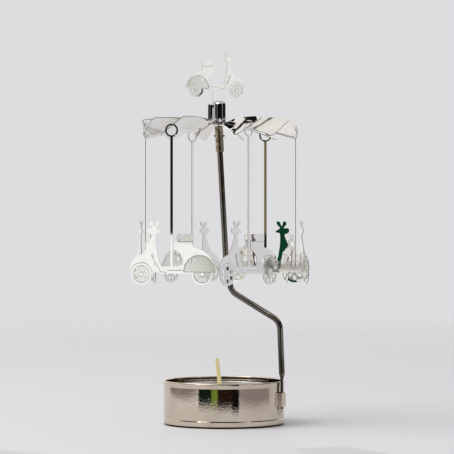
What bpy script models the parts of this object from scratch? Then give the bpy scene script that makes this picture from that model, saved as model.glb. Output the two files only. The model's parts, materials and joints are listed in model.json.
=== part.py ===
# Candle carousel: a tealight cup, a bent stand rod and a twelve-blade fan that turns on a needle
# Metres, +Z up, origin at the centre of the cup's underside, front of the cup towards -Y
import math

import bmesh
import bpy
from mathutils import Matrix, Vector

MM = 0.001

# Clearances
SEAT_GAP = 0.3 * MM
FINE_GAP = 0.2 * MM
OVERRUN = 1.0 * MM
MERGE = 0.001 * MM

# Base cup
CUP_RADIUS = 26.0 * MM
CUP_HEIGHT = 19.0 * MM
CUP_SHEET = 0.45 * MM
CUP_CORNER = 1.4 * MM
LIP_DEPTH = 2.1 * MM
LIP_STEP = 0.15 * MM
RIM_RADIUS = 0.45 * MM
GROOVE_HEIGHT = 3.1 * MM
GROOVE_DEPTH = 0.15 * MM
GROOVE_HALF = 0.3 * MM

# Lanced strap on the cup's wall
STRAP_ANGLE = math.radians(-24)
STRAP_HALF_ANGLE = math.radians(7.5)
STRAP_FLAT_SHARE = 0.45
STRAP_BOTTOM = 8.3 * MM
STRAP_TOP = 14.3 * MM
STRAP_INSET = 0.05 * MM
LUG_RADIUS = 1.9 * MM
LUG_HEIGHT = 3.2 * MM

# Stand rod
ROD_RADIUS = 1.28 * MM
TONGUE_THICK = 1.0 * MM
TONGUE_WIDTH = 2.1 * MM
TONGUE_TOP = 22.4 * MM
TONGUE_BOTTOM = 7.4 * MM
ROD_START = 21.7 * MM
ELBOW_RADIUS = 6.0 * MM
SWEEP_RADIUS = 40.0 * MM

# Rod corners: height, and distance from the rotor's axis on the way to the tongue
ELBOW_HEIGHT = 44.5 * MM
ELBOW_REACH = 27.7 * MM
NECK_HEIGHT = 57.2 * MM
NECK_REACH = 5.2 * MM
SWEEP_HEIGHT = 72.0 * MM
SWEEP_REACH = 2.8 * MM
SLEEVE_DROP = 12.3 * MM
SLEEVE_REACH = 0.1 * MM
SLEEVE_LEAN = math.radians(2.8)

# Sleeve, cross pin and needle on the rod's top
SLEEVE_RADIUS = 1.78 * MM
SLEEVE_LENGTH = 11.0 * MM
SLEEVE_WALL = 0.3 * MM
ROD_IN_SLEEVE = 4.6 * MM
PIN_RADIUS = 0.5 * MM
PIN_LENGTH = 4.7 * MM
PIN_ALONG = 6.8 * MM
SHANK_RADIUS = 1.13 * MM
SHANK_START = 5.2 * MM
SPIKE_RADIUS = 0.5 * MM
NEEDLE_TIP_RADIUS = 0.12 * MM
NEEDLE_CONE = 2.4 * MM

# Rotor axis and hub
AXIS_X = -1.83 * MM
SHEET_HEIGHT = 129.4 * MM
SHEET = 0.25 * MM
HUB_PLATE_RADIUS = 6.6 * MM
CAP_RADIUS = 2.7 * MM
CAP_WALL = 0.35 * MM
CAP_HEIGHT = 9.5 * MM
CAP_ROUND = 1.9 * MM
EYELET_RADIUS = 3.3 * MM
EYELET_SHEET = 0.4 * MM
EYELET_BORE = 1.6 * MM
EYELET_NECK = 2.6 * MM
BEARING_RADIUS = 1.95 * MM
BEARING_BEVEL = 0.7 * MM
BEARING_THICK = 0.9 * MM
DIMPLE_RADIUS = 0.8 * MM
DIMPLE_DEPTH = 0.35 * MM

# Blades
BLADES = 12
FIRST_ANGLE = math.radians(-8)
BLADE_RADIUS = 33.2 * MM
BLADE_HALF_ANGLE = math.radians(13)
BLADE_CORNER = 2.0 * MM
BLADE_PITCH = math.radians(32)
TWIST_LENGTH = 4.0 * MM
TIP_DROOP = 2.7 * MM
BLADE_SPAN_STEPS = 9
BLADE_CHORD_STEPS = 4

# Hanging scooters
PENDANTS = 6
PENDANT_TURN = math.radians(25)
PLATE = 0.3 * MM
RING_RADIUS = 2.8 * MM
RING_BAND = 0.7 * MM
RING_SLIT = 0.35 * MM
RING_SLIT_ANGLE = math.radians(-52)
PENDANT_LENGTH = 67.6 * MM
STRIP_WIDTH = 1.1 * MM
RING_OUTSET = 0.6 * MM
EYE_HALF_LENGTH = 0.4 * MM
EYE_RADIUS = 0.37 * MM

# Scooter motif: nose towards -x, wheels on z = 0
SCOOTER_LENGTH = 38.3 * MM
SCOOTER_HEIGHT = 27.0 * MM
WHEEL_SHARE = 0.118
FRONT_WHEEL_SHARE = -0.342
REAR_WHEEL_SHARE = 0.345
FLOOR_TOP_SHARE = 0.289
FLOOR_BOTTOM_SHARE = 0.174
FLOOR_FRONT_TOP_SHARE = -0.117
FLOOR_FRONT_BOTTOM_SHARE = -0.111
FLOOR_REAR_TOP_SHARE = 0.08
FLOOR_REAR_BOTTOM_SHARE = 0.175
WHEEL_HOLE_SHARE = 0.181
WHEEL_HOLE_REACH_SHARE = 0.57
COWL_HOLE_SHARES = (0.233, 0.381)
COWL_HOLE_RADIUS = 1.2 * MM
SHIELD_SLIT_WIDTH = 0.5 * MM

# Outline points of the motif as shares of its length and height
NOSE_SHARES = (
    (-0.472, 0.237), (-0.475, 0.281), (-0.446, 0.370), (-0.398, 0.437), (-0.350, 0.470),
    (-0.321, 0.485), (-0.300, 0.533), (-0.268, 0.622), (-0.239, 0.711), (-0.225, 0.778),
    (-0.249, 0.793), (-0.276, 0.819), (-0.281, 0.856), (-0.263, 0.885), (-0.231, 0.881),
    (-0.215, 0.896), (-0.236, 0.922), (-0.249, 0.956), (-0.236, 0.993), (-0.210, 0.989),
    (-0.202, 0.948), (-0.194, 0.915), (-0.180, 0.952), (-0.164, 0.993), (-0.138, 0.996),
    (-0.133, 0.956), (-0.151, 0.922), (-0.172, 0.889), (-0.154, 0.863), (-0.127, 0.844),
    (-0.122, 0.815), (-0.167, 0.804), (-0.175, 0.719), (-0.170, 0.593), (-0.151, 0.422),
)
SEAT_SHARES = (
    (0.117, 0.307), (0.130, 0.363), (0.127, 0.422), (0.103, 0.478), (0.061, 0.526),
    (0.027, 0.563), (0.024, 0.622), (0.032, 0.667), (0.085, 0.678), (0.111, 0.696),
    (0.085, 0.726), (0.069, 0.759), (0.090, 0.781), (0.159, 0.785), (0.231, 0.789),
    (0.247, 0.763), (0.247, 0.700), (0.236, 0.670), (0.236, 0.626), (0.249, 0.585),
    (0.297, 0.567), (0.347, 0.541), (0.395, 0.496), (0.438, 0.437), (0.472, 0.367),
    (0.499, 0.289), (0.525, 0.204), (0.496, 0.181),
)
SHIELD_SLIT_SHARES = ((-0.212, 0.500), (-0.186, 0.290))
FRONT_WHEEL_ARC = (math.radians(16), math.radians(-194))
REAR_WHEEL_ARC = (math.radians(10), math.radians(-188))
FRONT_HOLE_ANGLES = tuple(math.radians(a) for a in (-150, -90, -30, 30, 90, 150))
REAR_HOLE_ANGLES = tuple(math.radians(a) for a in (-160, -112, -68, -20))

# Top figure on its fork behind the dome
FIGURE_SHARE = 0.735
FIGURE_TURN = math.radians(25)
FIGURE_LIFT = 11.2 * MM
FORK_OFFSET = 3.1 * MM
FORK_SHIFT = -0.5 * MM
FORK_HALF_SPAN = 4.6 * MM
FORK_LEG = 2.1 * MM
FORK_CORNER = 0.65 * MM
FORK_HEIGHT = 8.2 * MM
FORK_BAR = 1.4 * MM
FORK_FOOT = 0.7 * MM
STEM_X = 1.0 * MM
STEM_WIDTH = 1.4 * MM

# Tealight
TEA_RADIUS = 19.25 * MM
TEA_HEIGHT = 16.4 * MM
TEA_SHEET = 0.3 * MM
TEA_RIM = 0.35 * MM
TEA_CORNER = 1.0 * MM
WAX_TOP = 15.2 * MM
HOLDER_RADIUS = 6.0 * MM
HOLDER_SHEET = 0.35 * MM
HOLDER_NECK_RADIUS = 1.9 * MM
HOLDER_NECK = 2.6 * MM
HOLDER_WALL = 0.35 * MM
WICK_WIDTH = 1.65 * MM
WICK_THICK = 0.8 * MM
WICK_TOP = 28.4 * MM
WICK_LEAN = math.radians(6.1)

# Steps round a full turn, and round the part of a wheel that shows
CUP_STEPS = 48
TEA_STEPS = 32
HUB_STEPS = 24
SMALL_STEPS = 16
HOLE_STEPS = 8
FRONT_WHEEL_STEPS = 11
REAR_WHEEL_STEPS = 10

COLLECTION = "candle_carousel"


def clear_scene():
    for thing in list(bpy.data.objects):
        bpy.data.objects.remove(thing, do_unlink=True)


def new_collection(name):
    group = bpy.data.collections.new(name)
    bpy.context.scene.collection.children.link(group)
    return group


def material(name, color, roughness, metallic):
    slot = bpy.data.materials.new(name)
    slot.use_nodes = True
    shader = slot.node_tree.nodes["Principled BSDF"]
    shader.inputs["Base Color"].default_value = (*color, 1.0)
    shader.inputs["Roughness"].default_value = roughness
    shader.inputs["Metallic"].default_value = metallic
    return slot


def mesh_object(name, mesh, group):
    thing = bpy.data.objects.new(name, mesh)
    group.objects.link(thing)
    return thing


def as_mesh(thing, group):
    """Turn a curve or a modified object into a plain mesh object with welded caps."""
    graph = bpy.context.evaluated_depsgraph_get()
    mesh = bpy.data.meshes.new_from_object(thing.evaluated_get(graph))
    shape = bmesh.new()
    shape.from_mesh(mesh)
    bmesh.ops.remove_doubles(shape, verts=shape.verts, dist=MERGE)
    bmesh.ops.recalc_face_normals(shape, faces=shape.faces)
    shape.to_mesh(mesh)
    shape.free()
    name = thing.name
    world = thing.matrix_world.copy()
    bpy.data.objects.remove(thing, do_unlink=True)
    solid = mesh_object(name, mesh, group)
    solid.matrix_world = world
    return solid


def smooth(thing, angle=math.radians(35)):
    thing.data.shade_smooth()
    thing.data.set_sharp_from_angle(angle=angle)


def turned(name, profile, steps, group):
    """A profile of (radius, height) points turned about Z, from the top down its outer side."""
    mesh = bpy.data.meshes.new(name)
    points = [(radius, 0, height) for radius, height in profile]
    edges = [(i, i + 1) for i in range(len(points) - 1)]
    if profile[0][0] and profile[-1][0]:
        edges.append((len(points) - 1, 0))
    mesh.from_pydata(points, edges, [])
    thing = mesh_object(name, mesh, group)
    screw = thing.modifiers.new("turn", "SCREW")
    screw.axis = "Z"
    screw.steps = steps
    screw.render_steps = steps
    screw.use_merge_vertices = True
    screw.merge_threshold = MERGE
    screw.use_smooth_shade = True
    bpy.context.view_layer.update()
    return as_mesh(thing, group)


def flat_plate(name, outline, holes, thickness, group):
    """A closed outline with holes, standing in the XZ plane and centred on it."""
    curve = bpy.data.curves.new(name, "CURVE")
    curve.dimensions = "2D"
    curve.fill_mode = "BOTH"
    curve.extrude = thickness / 2
    for ring in (outline, *holes):
        spline = curve.splines.new("POLY")
        spline.points.add(len(ring) - 1)
        for point, (x, z) in zip(spline.points, ring):
            point.co = (x, z, 0, 1)
        spline.use_cyclic_u = True
    thing = bpy.data.objects.new(name, curve)
    group.objects.link(thing)
    thing.rotation_euler = (math.pi / 2, 0, 0)
    bpy.context.view_layer.update()
    return as_mesh(thing, group)


def tube(name, points, radii, resolution, group):
    """A round bar with filled ends along the points."""
    curve = bpy.data.curves.new(name, "CURVE")
    curve.dimensions = "3D"
    curve.bevel_depth = 1
    curve.bevel_resolution = resolution
    curve.use_fill_caps = True
    spline = curve.splines.new("POLY")
    spline.points.add(len(points) - 1)
    for point, place_at, radius in zip(spline.points, points, radii):
        point.co = (*place_at, 1)
        point.radius = radius
    thing = bpy.data.objects.new(name, curve)
    group.objects.link(thing)
    bpy.context.view_layer.update()
    return as_mesh(thing, group)


def cut_or_join(thing, others, operation, group):
    """Apply EXACT Booleans one after another and keep a plain mesh."""
    for other in others:
        change = thing.modifiers.new("change", "BOOLEAN")
        change.operation = operation
        change.solver = "EXACT"
        change.object = other
    bpy.context.view_layer.update()
    done = as_mesh(thing, group)
    for other in others:
        bpy.data.objects.remove(other, do_unlink=True)
    return done


def bar(name, start, end, radius, steps, group):
    """A cylinder from start to end."""
    start, end = Vector(start), Vector(end)
    axis = end - start
    mesh = bpy.data.meshes.new(name)
    shape = bmesh.new()
    bmesh.ops.create_cone(
        shape, cap_ends=True, segments=steps, radius1=radius, radius2=radius, depth=axis.length
    )
    shape.to_mesh(mesh)
    shape.free()
    thing = mesh_object(name, mesh, group)
    turn = Vector((0, 0, 1)).rotation_difference(axis).to_matrix().to_4x4()
    thing.matrix_world = Matrix.Translation((start + end) / 2) @ turn
    return thing


def block(name, size, world, group):
    """A box of the given size under a world matrix."""
    mesh = bpy.data.meshes.new(name)
    shape = bmesh.new()
    bmesh.ops.create_cube(shape, size=1)
    bmesh.ops.scale(shape, vec=size, verts=shape.verts)
    shape.to_mesh(mesh)
    shape.free()
    thing = mesh_object(name, mesh, group)
    thing.matrix_world = world
    return thing


def arc(center, radius, start, end, steps):
    """Points from one angle to another round a centre."""
    return [
        (
            center[0] + radius * math.cos(start + (end - start) * i / steps),
            center[1] + radius * math.sin(start + (end - start) * i / steps),
        )
        for i in range(steps + 1)
    ]


def rounded(corners, radii, steps):
    """A 3D path through the corners, each inner one replaced by an arc of its radius."""
    path = [corners[0]]
    for before, corner, after, radius in zip(corners, corners[1:], corners[2:], radii):
        a = (before - corner).normalized()
        b = (after - corner).normalized()
        half = a.angle(b) / 2
        reach = radius / math.tan(half)
        center = corner + (a + b).normalized() * radius / math.sin(half)
        first = corner + a * reach - center
        last = corner + b * reach - center
        whole = first.angle(last)
        for i in range(steps + 1):
            share = i / steps
            spread = math.sin((1 - share) * whole) * first + math.sin(share * whole) * last
            path.append(center + spread / math.sin(whole))
    path.append(corners[-1])
    return path


# Places that several pieces share
CAP_TOP = SHEET_HEIGHT + CAP_HEIGHT
FIGURE_BOTTOM = SHEET_HEIGHT + FIGURE_LIFT
FORK_TOP = SHEET_HEIGHT + FORK_HEIGHT
SLEEVE_HEIGHT = SHEET_HEIGHT - SLEEVE_DROP
CUP_INNER = CUP_RADIUS - CUP_SHEET
TONGUE_CENTER = CUP_RADIUS + LIP_STEP + SEAT_GAP + TONGUE_THICK / 2
STRAP_INNER = TONGUE_CENTER + TONGUE_THICK / 2 + SEAT_GAP
AXIS = Vector((AXIS_X, 0, 0))
TONGUE_PLACE = Vector(
    (TONGUE_CENTER * math.cos(STRAP_ANGLE), TONGUE_CENTER * math.sin(STRAP_ANGLE), 0)
)
TOWARDS_TONGUE = (TONGUE_PLACE - AXIS).normalized()
SLEEVE_START = AXIS + TOWARDS_TONGUE * SLEEVE_REACH + Vector((0, 0, SLEEVE_HEIGHT))
SLEEVE_WAY = Vector((0, 0, math.cos(SLEEVE_LEAN))) - TOWARDS_TONGUE * math.sin(SLEEVE_LEAN)
SLEEVE_END = SLEEVE_START + SLEEVE_WAY * SLEEVE_LENGTH
SHEET_LOW = SHEET_HEIGHT - SHEET / 2
SHEET_HIGH = SHEET_HEIGHT + SHEET / 2
CAP_INNER = CAP_RADIUS - CAP_WALL
BEARING_TOP = CAP_TOP - CAP_WALL - FINE_GAP
BEARING_BOTTOM = BEARING_TOP - BEARING_THICK
NEEDLE_TIP = AXIS + Vector((0, 0, BEARING_BOTTOM + DIMPLE_DEPTH - SEAT_GAP))
BLADE_HALF_CHORD = BLADE_RADIUS * math.tan(BLADE_HALF_ANGLE)
WHEEL_RADIUS = SCOOTER_LENGTH * WHEEL_SHARE
FRONT_WHEEL_X = SCOOTER_LENGTH * FRONT_WHEEL_SHARE
REAR_WHEEL_X = SCOOTER_LENGTH * REAR_WHEEL_SHARE
FLOOR_TOP = SCOOTER_HEIGHT * FLOOR_TOP_SHARE
FLOOR_BOTTOM = SCOOTER_HEIGHT * FLOOR_BOTTOM_SHARE
FLOOR_FRONT_TOP = SCOOTER_LENGTH * FLOOR_FRONT_TOP_SHARE
FLOOR_FRONT_BOTTOM = SCOOTER_LENGTH * FLOOR_FRONT_BOTTOM_SHARE
FLOOR_REAR_TOP = SCOOTER_LENGTH * FLOOR_REAR_TOP_SHARE
FLOOR_REAR_BOTTOM = SCOOTER_LENGTH * FLOOR_REAR_BOTTOM_SHARE
WHEEL_HOLE_RADIUS = WHEEL_RADIUS * WHEEL_HOLE_SHARE
WHEEL_HOLE_REACH = WHEEL_RADIUS * WHEEL_HOLE_REACH_SHARE
RING_INNER = RING_RADIUS - RING_BAND
RING_MIDDLE = RING_RADIUS - RING_BAND / 2
RING_REACH = BLADE_RADIUS - RING_OUTSET
FLOOR_HEIGHT = CUP_SHEET
TEA_FLOOR = FLOOR_HEIGHT + SEAT_GAP
WAX_FLOOR = TEA_FLOOR + TEA_SHEET + SEAT_GAP


def base_cup(group):
    """Turned sheet cup with a rolled lip, and the lanced strap that holds the rod."""
    lip = CUP_RADIUS + LIP_STEP
    lip_low = CUP_HEIGHT - LIP_DEPTH
    rim_z = CUP_HEIGHT - RIM_RADIUS
    rim = [(x, z) for x, z in arc((lip - RIM_RADIUS, rim_z), RIM_RADIUS, math.pi * 0.9, 0, 6)]
    corner = arc(
        (CUP_RADIUS - CUP_CORNER, CUP_CORNER), CUP_CORNER, 0, -math.pi / 2, 5
    )
    inner_corner = arc(
        (CUP_RADIUS - CUP_CORNER, CUP_CORNER), CUP_CORNER - CUP_SHEET, -math.pi / 2, 0, 5
    )
    profile = [
        *rim,
        (lip, lip_low),
        (CUP_RADIUS, lip_low - LIP_STEP),
        (CUP_RADIUS, GROOVE_HEIGHT + GROOVE_HALF),
        (CUP_RADIUS - GROOVE_DEPTH, GROOVE_HEIGHT),
        (CUP_RADIUS, GROOVE_HEIGHT - GROOVE_HALF),
        *corner,
        (0, 0),
        (0, FLOOR_HEIGHT),
        *inner_corner,
        (CUP_INNER, rim_z - RIM_RADIUS),
    ]
    split = profile.index((0, 0))
    ring = profile[split + 1 :] + profile[: split + 1]
    cup = turned("base_cup", ring, CUP_STEPS, group)
    strap_height = STRAP_TOP - STRAP_BOTTOM
    middle = (STRAP_TOP + STRAP_BOTTOM) / 2
    turn = Matrix.Rotation(STRAP_ANGLE, 4, "Z")
    window_half = STRAP_INNER * math.sin(STRAP_HALF_ANGLE * (1 + STRAP_FLAT_SHARE) / 2)
    window = block(
        "strap_window",
        (CUP_SHEET + 2 * OVERRUN, 2 * window_half, strap_height + 2 * FINE_GAP),
        turn @ Matrix.Translation((CUP_RADIUS, 0, middle)),
        group,
    )
    cup = cut_or_join(cup, [window], "DIFFERENCE", group)
    strap = lanced_strap(strap_height, middle, group)
    lug_top = TONGUE_BOTTOM - SEAT_GAP
    lug = stop_lug(lug_top, group)
    cup = cut_or_join(cup, [strap, lug], "UNION", group)
    smooth(cup)
    return cup


def lanced_strap(height, middle, group):
    """The strip that stands out from the wall, flat over the tongue and sloping to both sides."""
    outer_base = CUP_RADIUS - STRAP_INSET
    inner_base = CUP_INNER + STRAP_INSET
    lift = STRAP_INNER - inner_base
    outer, inner = [], []
    steps = 16
    for i in range(steps + 1):
        share = 2 * i / steps - 1
        slope = max(abs(share) - STRAP_FLAT_SHARE, 0) / (1 - STRAP_FLAT_SHARE)
        rise = lift * (0.5 + 0.5 * math.cos(math.pi * slope))
        angle = share * STRAP_HALF_ANGLE
        outer.append((outer_base + rise, angle))
        inner.append((inner_base + rise, angle))
    points = [(r * math.cos(a), r * math.sin(a)) for r, a in outer + inner[::-1]]
    strap = flat_plate("strap", points, (), height, group)
    upright = Matrix.Rotation(-math.pi / 2, 4, "X")
    strap.matrix_world = (
        Matrix.Rotation(STRAP_ANGLE, 4, "Z")
        @ Matrix.Translation((0, 0, middle))
        @ upright
        @ strap.matrix_world
    )
    return strap


def stop_lug(top, group):
    """A pressed half cone under the strap that the tongue stands on."""
    mesh = bpy.data.meshes.new("stop_lug")
    shape = bmesh.new()
    bmesh.ops.create_cone(
        shape,
        cap_ends=True,
        segments=SMALL_STEPS,
        radius1=LUG_RADIUS / 4,
        radius2=LUG_RADIUS,
        depth=LUG_HEIGHT,
    )
    shape.to_mesh(mesh)
    shape.free()
    lug = mesh_object("stop_lug", mesh, group)
    reach = TONGUE_CENTER + TONGUE_THICK / 2 - LUG_RADIUS
    lug.matrix_world = Matrix.Rotation(STRAP_ANGLE, 4, "Z") @ Matrix.Translation(
        (reach, 0, top - LUG_HEIGHT / 2)
    )
    outer = bar(
        "lug_inside",
        (0, 0, top - LUG_HEIGHT - OVERRUN),
        (0, 0, top + OVERRUN),
        CUP_RADIUS - CUP_SHEET / 2,
        CUP_STEPS,
        group,
    )
    return cut_or_join(lug, [outer], "DIFFERENCE", group)


def tealight_cup(group):
    """Thin cup with a rolled rim that stands on the base cup's floor."""
    top = TEA_HEIGHT + TEA_FLOOR
    inner = TEA_RADIUS - TEA_SHEET
    rim = arc((TEA_RADIUS - TEA_RIM, top - TEA_RIM), TEA_RIM, math.pi * 0.9, 0, 6)
    center = (TEA_RADIUS - TEA_CORNER, TEA_FLOOR + TEA_CORNER)
    profile = [
        (0, TEA_FLOOR + TEA_SHEET),
        *arc(center, TEA_CORNER - TEA_SHEET, -math.pi / 2, 0, 4),
        (inner, top - 2 * TEA_RIM),
        *rim,
        *arc(center, TEA_CORNER, 0, -math.pi / 2, 4),
        (0, TEA_FLOOR),
    ]
    cup = turned("tealight_cup", profile, TEA_STEPS, group)
    smooth(cup)
    return cup


def wick_outline(grow):
    """The flat wick as a leaning strip, grown all round by a clearance."""
    half = WICK_WIDTH / 2 + grow
    foot = WAX_FLOOR + HOLDER_SHEET + SEAT_GAP - grow
    crown = WICK_TOP + grow
    drift = math.tan(WICK_LEAN)
    low = -foot * drift
    high = -crown * drift
    return [(low - half, foot), (low + half, foot), (high + half, crown), (high - half, crown)]


def tealight_wax(group):
    """Wax with a pocket for the wick's holder and a slot for the wick."""
    radius = TEA_RADIUS - TEA_SHEET - SEAT_GAP
    bevel = TEA_CORNER
    base = TEA_FLOOR + TEA_SHEET + SEAT_GAP
    neck = HOLDER_NECK_RADIUS + SEAT_GAP
    pocket = base + HOLDER_SHEET + SEAT_GAP
    profile = [
        (0, WAX_TOP),
        (radius, WAX_TOP),
        (radius, base + bevel),
        (radius - bevel, base),
        (HOLDER_RADIUS + SEAT_GAP, base),
        (HOLDER_RADIUS + SEAT_GAP, pocket),
        (neck, pocket),
        (neck, pocket + HOLDER_NECK),
        (0, pocket + HOLDER_NECK),
    ]
    wax = turned("tealight_wax", profile, TEA_STEPS, group)
    slot = flat_plate("wick_slot", wick_outline(SEAT_GAP), (), WICK_THICK + 2 * SEAT_GAP, group)
    wax = cut_or_join(wax, [slot], "DIFFERENCE", group)
    smooth(wax)
    return wax


def wick_holder(group):
    """Small sheet disc with a neck round the wick's foot."""
    base = TEA_FLOOR + TEA_SHEET + SEAT_GAP
    top = base + HOLDER_SHEET
    bore = HOLDER_NECK_RADIUS - HOLDER_WALL
    profile = [
        (HOLDER_NECK_RADIUS, top + HOLDER_NECK),
        (HOLDER_NECK_RADIUS, top),
        (HOLDER_RADIUS, top),
        (HOLDER_RADIUS, base),
        (0, base),
        (0, top),
        (bore, top),
        (bore, top + HOLDER_NECK),
    ]
    ring = profile[5:] + profile[:5]
    holder = turned("wick_holder", ring, HUB_STEPS, group)
    smooth(holder)
    return holder


def wick(group):
    """Flat wick that leans to the left."""
    return flat_plate("wick", wick_outline(0), (), WICK_THICK, group)


def rod_point(reach, height):
    return AXIS + TOWARDS_TONGUE * reach + Vector((0, 0, height))


def stand_rod(group):
    """Bent round wire whose lower end is pressed flat to enter the strap."""
    corners = [
        TONGUE_PLACE + Vector((0, 0, ROD_START)),
        rod_point(ELBOW_REACH, ELBOW_HEIGHT),
        rod_point(NECK_REACH, NECK_HEIGHT),
        rod_point(SWEEP_REACH, SWEEP_HEIGHT),
        SLEEVE_START,
        SLEEVE_START + SLEEVE_WAY * ROD_IN_SLEEVE,
    ]
    path = rounded(corners, [ELBOW_RADIUS, ELBOW_RADIUS, SWEEP_RADIUS, SWEEP_RADIUS], 8)
    rod = tube("stand_rod", path, [ROD_RADIUS] * len(path), 2, group)
    height = TONGUE_TOP - TONGUE_BOTTOM
    tongue = block(
        "tongue",
        (TONGUE_THICK, TONGUE_WIDTH, height),
        Matrix.Rotation(STRAP_ANGLE, 4, "Z")
        @ Matrix.Translation((TONGUE_CENTER, 0, TONGUE_BOTTOM + height / 2)),
        group,
    )
    rod = cut_or_join(rod, [tongue], "UNION", group)
    smooth(rod)
    return rod


def along_sleeve(distance):
    return SLEEVE_START + SLEEVE_WAY * distance


def cross_pin(name, radius, length, group):
    middle = along_sleeve(PIN_ALONG)
    half = Vector((length / 2, 0, 0))
    return bar(name, middle - half, middle + half, radius, SMALL_STEPS, group)


def pivot_sleeve(group):
    """Tube on the rod's top, drilled for the cross pin."""
    sleeve = bar(
        "pivot_sleeve", SLEEVE_START, SLEEVE_END, SLEEVE_RADIUS, HUB_STEPS, group
    )
    bore = bar(
        "sleeve_bore",
        along_sleeve(-OVERRUN),
        along_sleeve(SLEEVE_LENGTH + OVERRUN),
        SLEEVE_RADIUS - SLEEVE_WALL,
        HUB_STEPS,
        group,
    )
    drill = cross_pin("sleeve_drill", PIN_RADIUS + FINE_GAP, PIN_LENGTH, group)
    sleeve = cut_or_join(sleeve, [bore, drill], "DIFFERENCE", group)
    smooth(sleeve)
    return sleeve


def sleeve_pin(group):
    """Cross pin through the sleeve and the needle's shank."""
    pin = cross_pin("sleeve_pin", PIN_RADIUS, PIN_LENGTH, group)
    smooth(pin)
    return pin


def pivot_needle(group):
    """Needle with its shank in the sleeve and its point under the hub's bearing."""
    shank_top = along_sleeve(SLEEVE_LENGTH)
    spike = (NEEDLE_TIP - shank_top).normalized()
    points = [
        along_sleeve(SHANK_START),
        along_sleeve(SLEEVE_LENGTH - 2 * FINE_GAP),
        shank_top,
        NEEDLE_TIP - spike * NEEDLE_CONE,
        NEEDLE_TIP,
    ]
    radii = [SHANK_RADIUS, SHANK_RADIUS, SPIKE_RADIUS, SPIKE_RADIUS, NEEDLE_TIP_RADIUS]
    needle = tube("pivot_needle", points, radii, 2, group)
    drill = cross_pin("shank_drill", PIN_RADIUS + FINE_GAP, PIN_LENGTH, group)
    needle = cut_or_join(needle, [drill], "DIFFERENCE", group)
    smooth(needle)
    return needle


def blade(index, group):
    """One sector of the sheet, twisted out of its plane and drooping to its tip."""
    start = HUB_PLATE_RADIUS - SEAT_GAP
    shape = bmesh.new()
    bmesh.ops.create_grid(
        shape, x_segments=BLADE_SPAN_STEPS, y_segments=BLADE_CHORD_STEPS, size=1
    )
    for vert in shape.verts:
        span = (vert.co.x + 1) / 2
        across = vert.co.y
        reach = start + (BLADE_RADIUS - start) * span
        half = reach * math.tan(BLADE_HALF_ANGLE)
        near_tip = max(reach - (BLADE_RADIUS - BLADE_CORNER), 0) / BLADE_CORNER
        half -= BLADE_CORNER * (1 - math.sqrt(max(1 - near_tip**2, 0)))
        twist = min((reach - start) / TWIST_LENGTH, 1)
        pitch = BLADE_PITCH * (0.5 - 0.5 * math.cos(math.pi * twist))
        droop = TIP_DROOP * span**2
        side = across * half
        vert.co = (reach, side * math.cos(pitch), side * math.sin(pitch) - droop)
    mesh = bpy.data.meshes.new(f"blade_{index}")
    shape.to_mesh(mesh)
    shape.free()
    thing = mesh_object(f"blade_{index}", mesh, group)
    thing.matrix_world = blade_frame(index)
    skin = thing.modifiers.new("sheet", "SOLIDIFY")
    skin.thickness = SHEET
    skin.offset = 0
    return thing


def blade_frame(index):
    """The frame at the hub's sheet with +X along a blade."""
    turn = Matrix.Rotation(FIRST_ANGLE + index * math.tau / BLADES, 4, "Z")
    return Matrix.Translation(AXIS + Vector((0, 0, SHEET_HEIGHT))) @ turn


def pendant_angle(index):
    return FIRST_ANGLE + index * math.tau / PENDANTS


def contact_height():
    """The blade's middle height at the ring, below the hub's sheet."""
    start = HUB_PLATE_RADIUS - SEAT_GAP
    share = (RING_REACH - start) / (BLADE_RADIUS - start)
    return SHEET_HEIGHT - TIP_DROOP * share**2


def ring_drop():
    """How far the ring's centre lies below the blade's middle line where the ring rests on it."""
    return RING_INNER - SEAT_GAP - SHEET / 2 / math.cos(BLADE_PITCH)


def eye_offset():
    """Where the ring goes down through the sheet, along the plate's own direction from its centre."""
    slope = math.atan(math.tan(BLADE_PITCH) * math.cos(PENDANT_TURN))
    height = ring_drop() * math.cos(slope)
    half_chord = math.sqrt(RING_MIDDLE**2 - height**2)
    return half_chord * math.cos(slope) - height * math.sin(slope)


def pendant_frame(index):
    """The frame at a ring's centre with +X towards the scooter's tail."""
    angle = pendant_angle(index)
    center = AXIS + Vector((RING_REACH * math.cos(angle), RING_REACH * math.sin(angle), 0))
    center.z = contact_height() - ring_drop()
    turn = Matrix.Rotation(angle + math.pi / 2 + PENDANT_TURN, 4, "Z")
    return Matrix.Translation(center) @ turn


def eye_cutter(index, group):
    """A slotted hole in line with the ring's plate."""
    frame = pendant_frame(index)
    outline = arc((EYE_HALF_LENGTH, 0), EYE_RADIUS, -math.pi / 2, math.pi / 2, 6)
    outline += arc((-EYE_HALF_LENGTH, 0), EYE_RADIUS, math.pi / 2, 3 * math.pi / 2, 6)
    cutter = flat_plate(f"eye_{index}", outline, (), 2 * BLADE_CORNER, group)
    upright = Matrix.Rotation(-math.pi / 2, 4, "X")
    shift = Matrix.Translation((eye_offset(), 0, ring_drop()))
    cutter.matrix_world = frame @ shift @ upright @ cutter.matrix_world
    return cutter


def fan_rotor(group):
    """The fan's one sheet: hub plate, twisted blades and the eyes that the scooters hang in."""
    low = AXIS + Vector((0, 0, SHEET_LOW))
    high = AXIS + Vector((0, 0, SHEET_HIGH))
    plate = bar("fan_rotor", low, high, HUB_PLATE_RADIUS, CUP_STEPS, group)
    blades = [blade(i, group) for i in range(BLADES)]
    bpy.context.view_layer.update()
    blades = [as_mesh(b, group) for b in blades]
    rotor = cut_or_join(plate, blades, "UNION", group)
    bore = bar(
        "hub_bore",
        low - Vector((0, 0, OVERRUN)),
        high + Vector((0, 0, OVERRUN)),
        CAP_INNER,
        HUB_STEPS,
        group,
    )
    cutters = [bore, *fork_slots(group)]
    cutters += [eye_cutter(i, group) for i in range(PENDANTS)]
    rotor = cut_or_join(rotor, cutters, "DIFFERENCE", group)
    smooth(rotor, math.radians(50))
    return rotor


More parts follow.
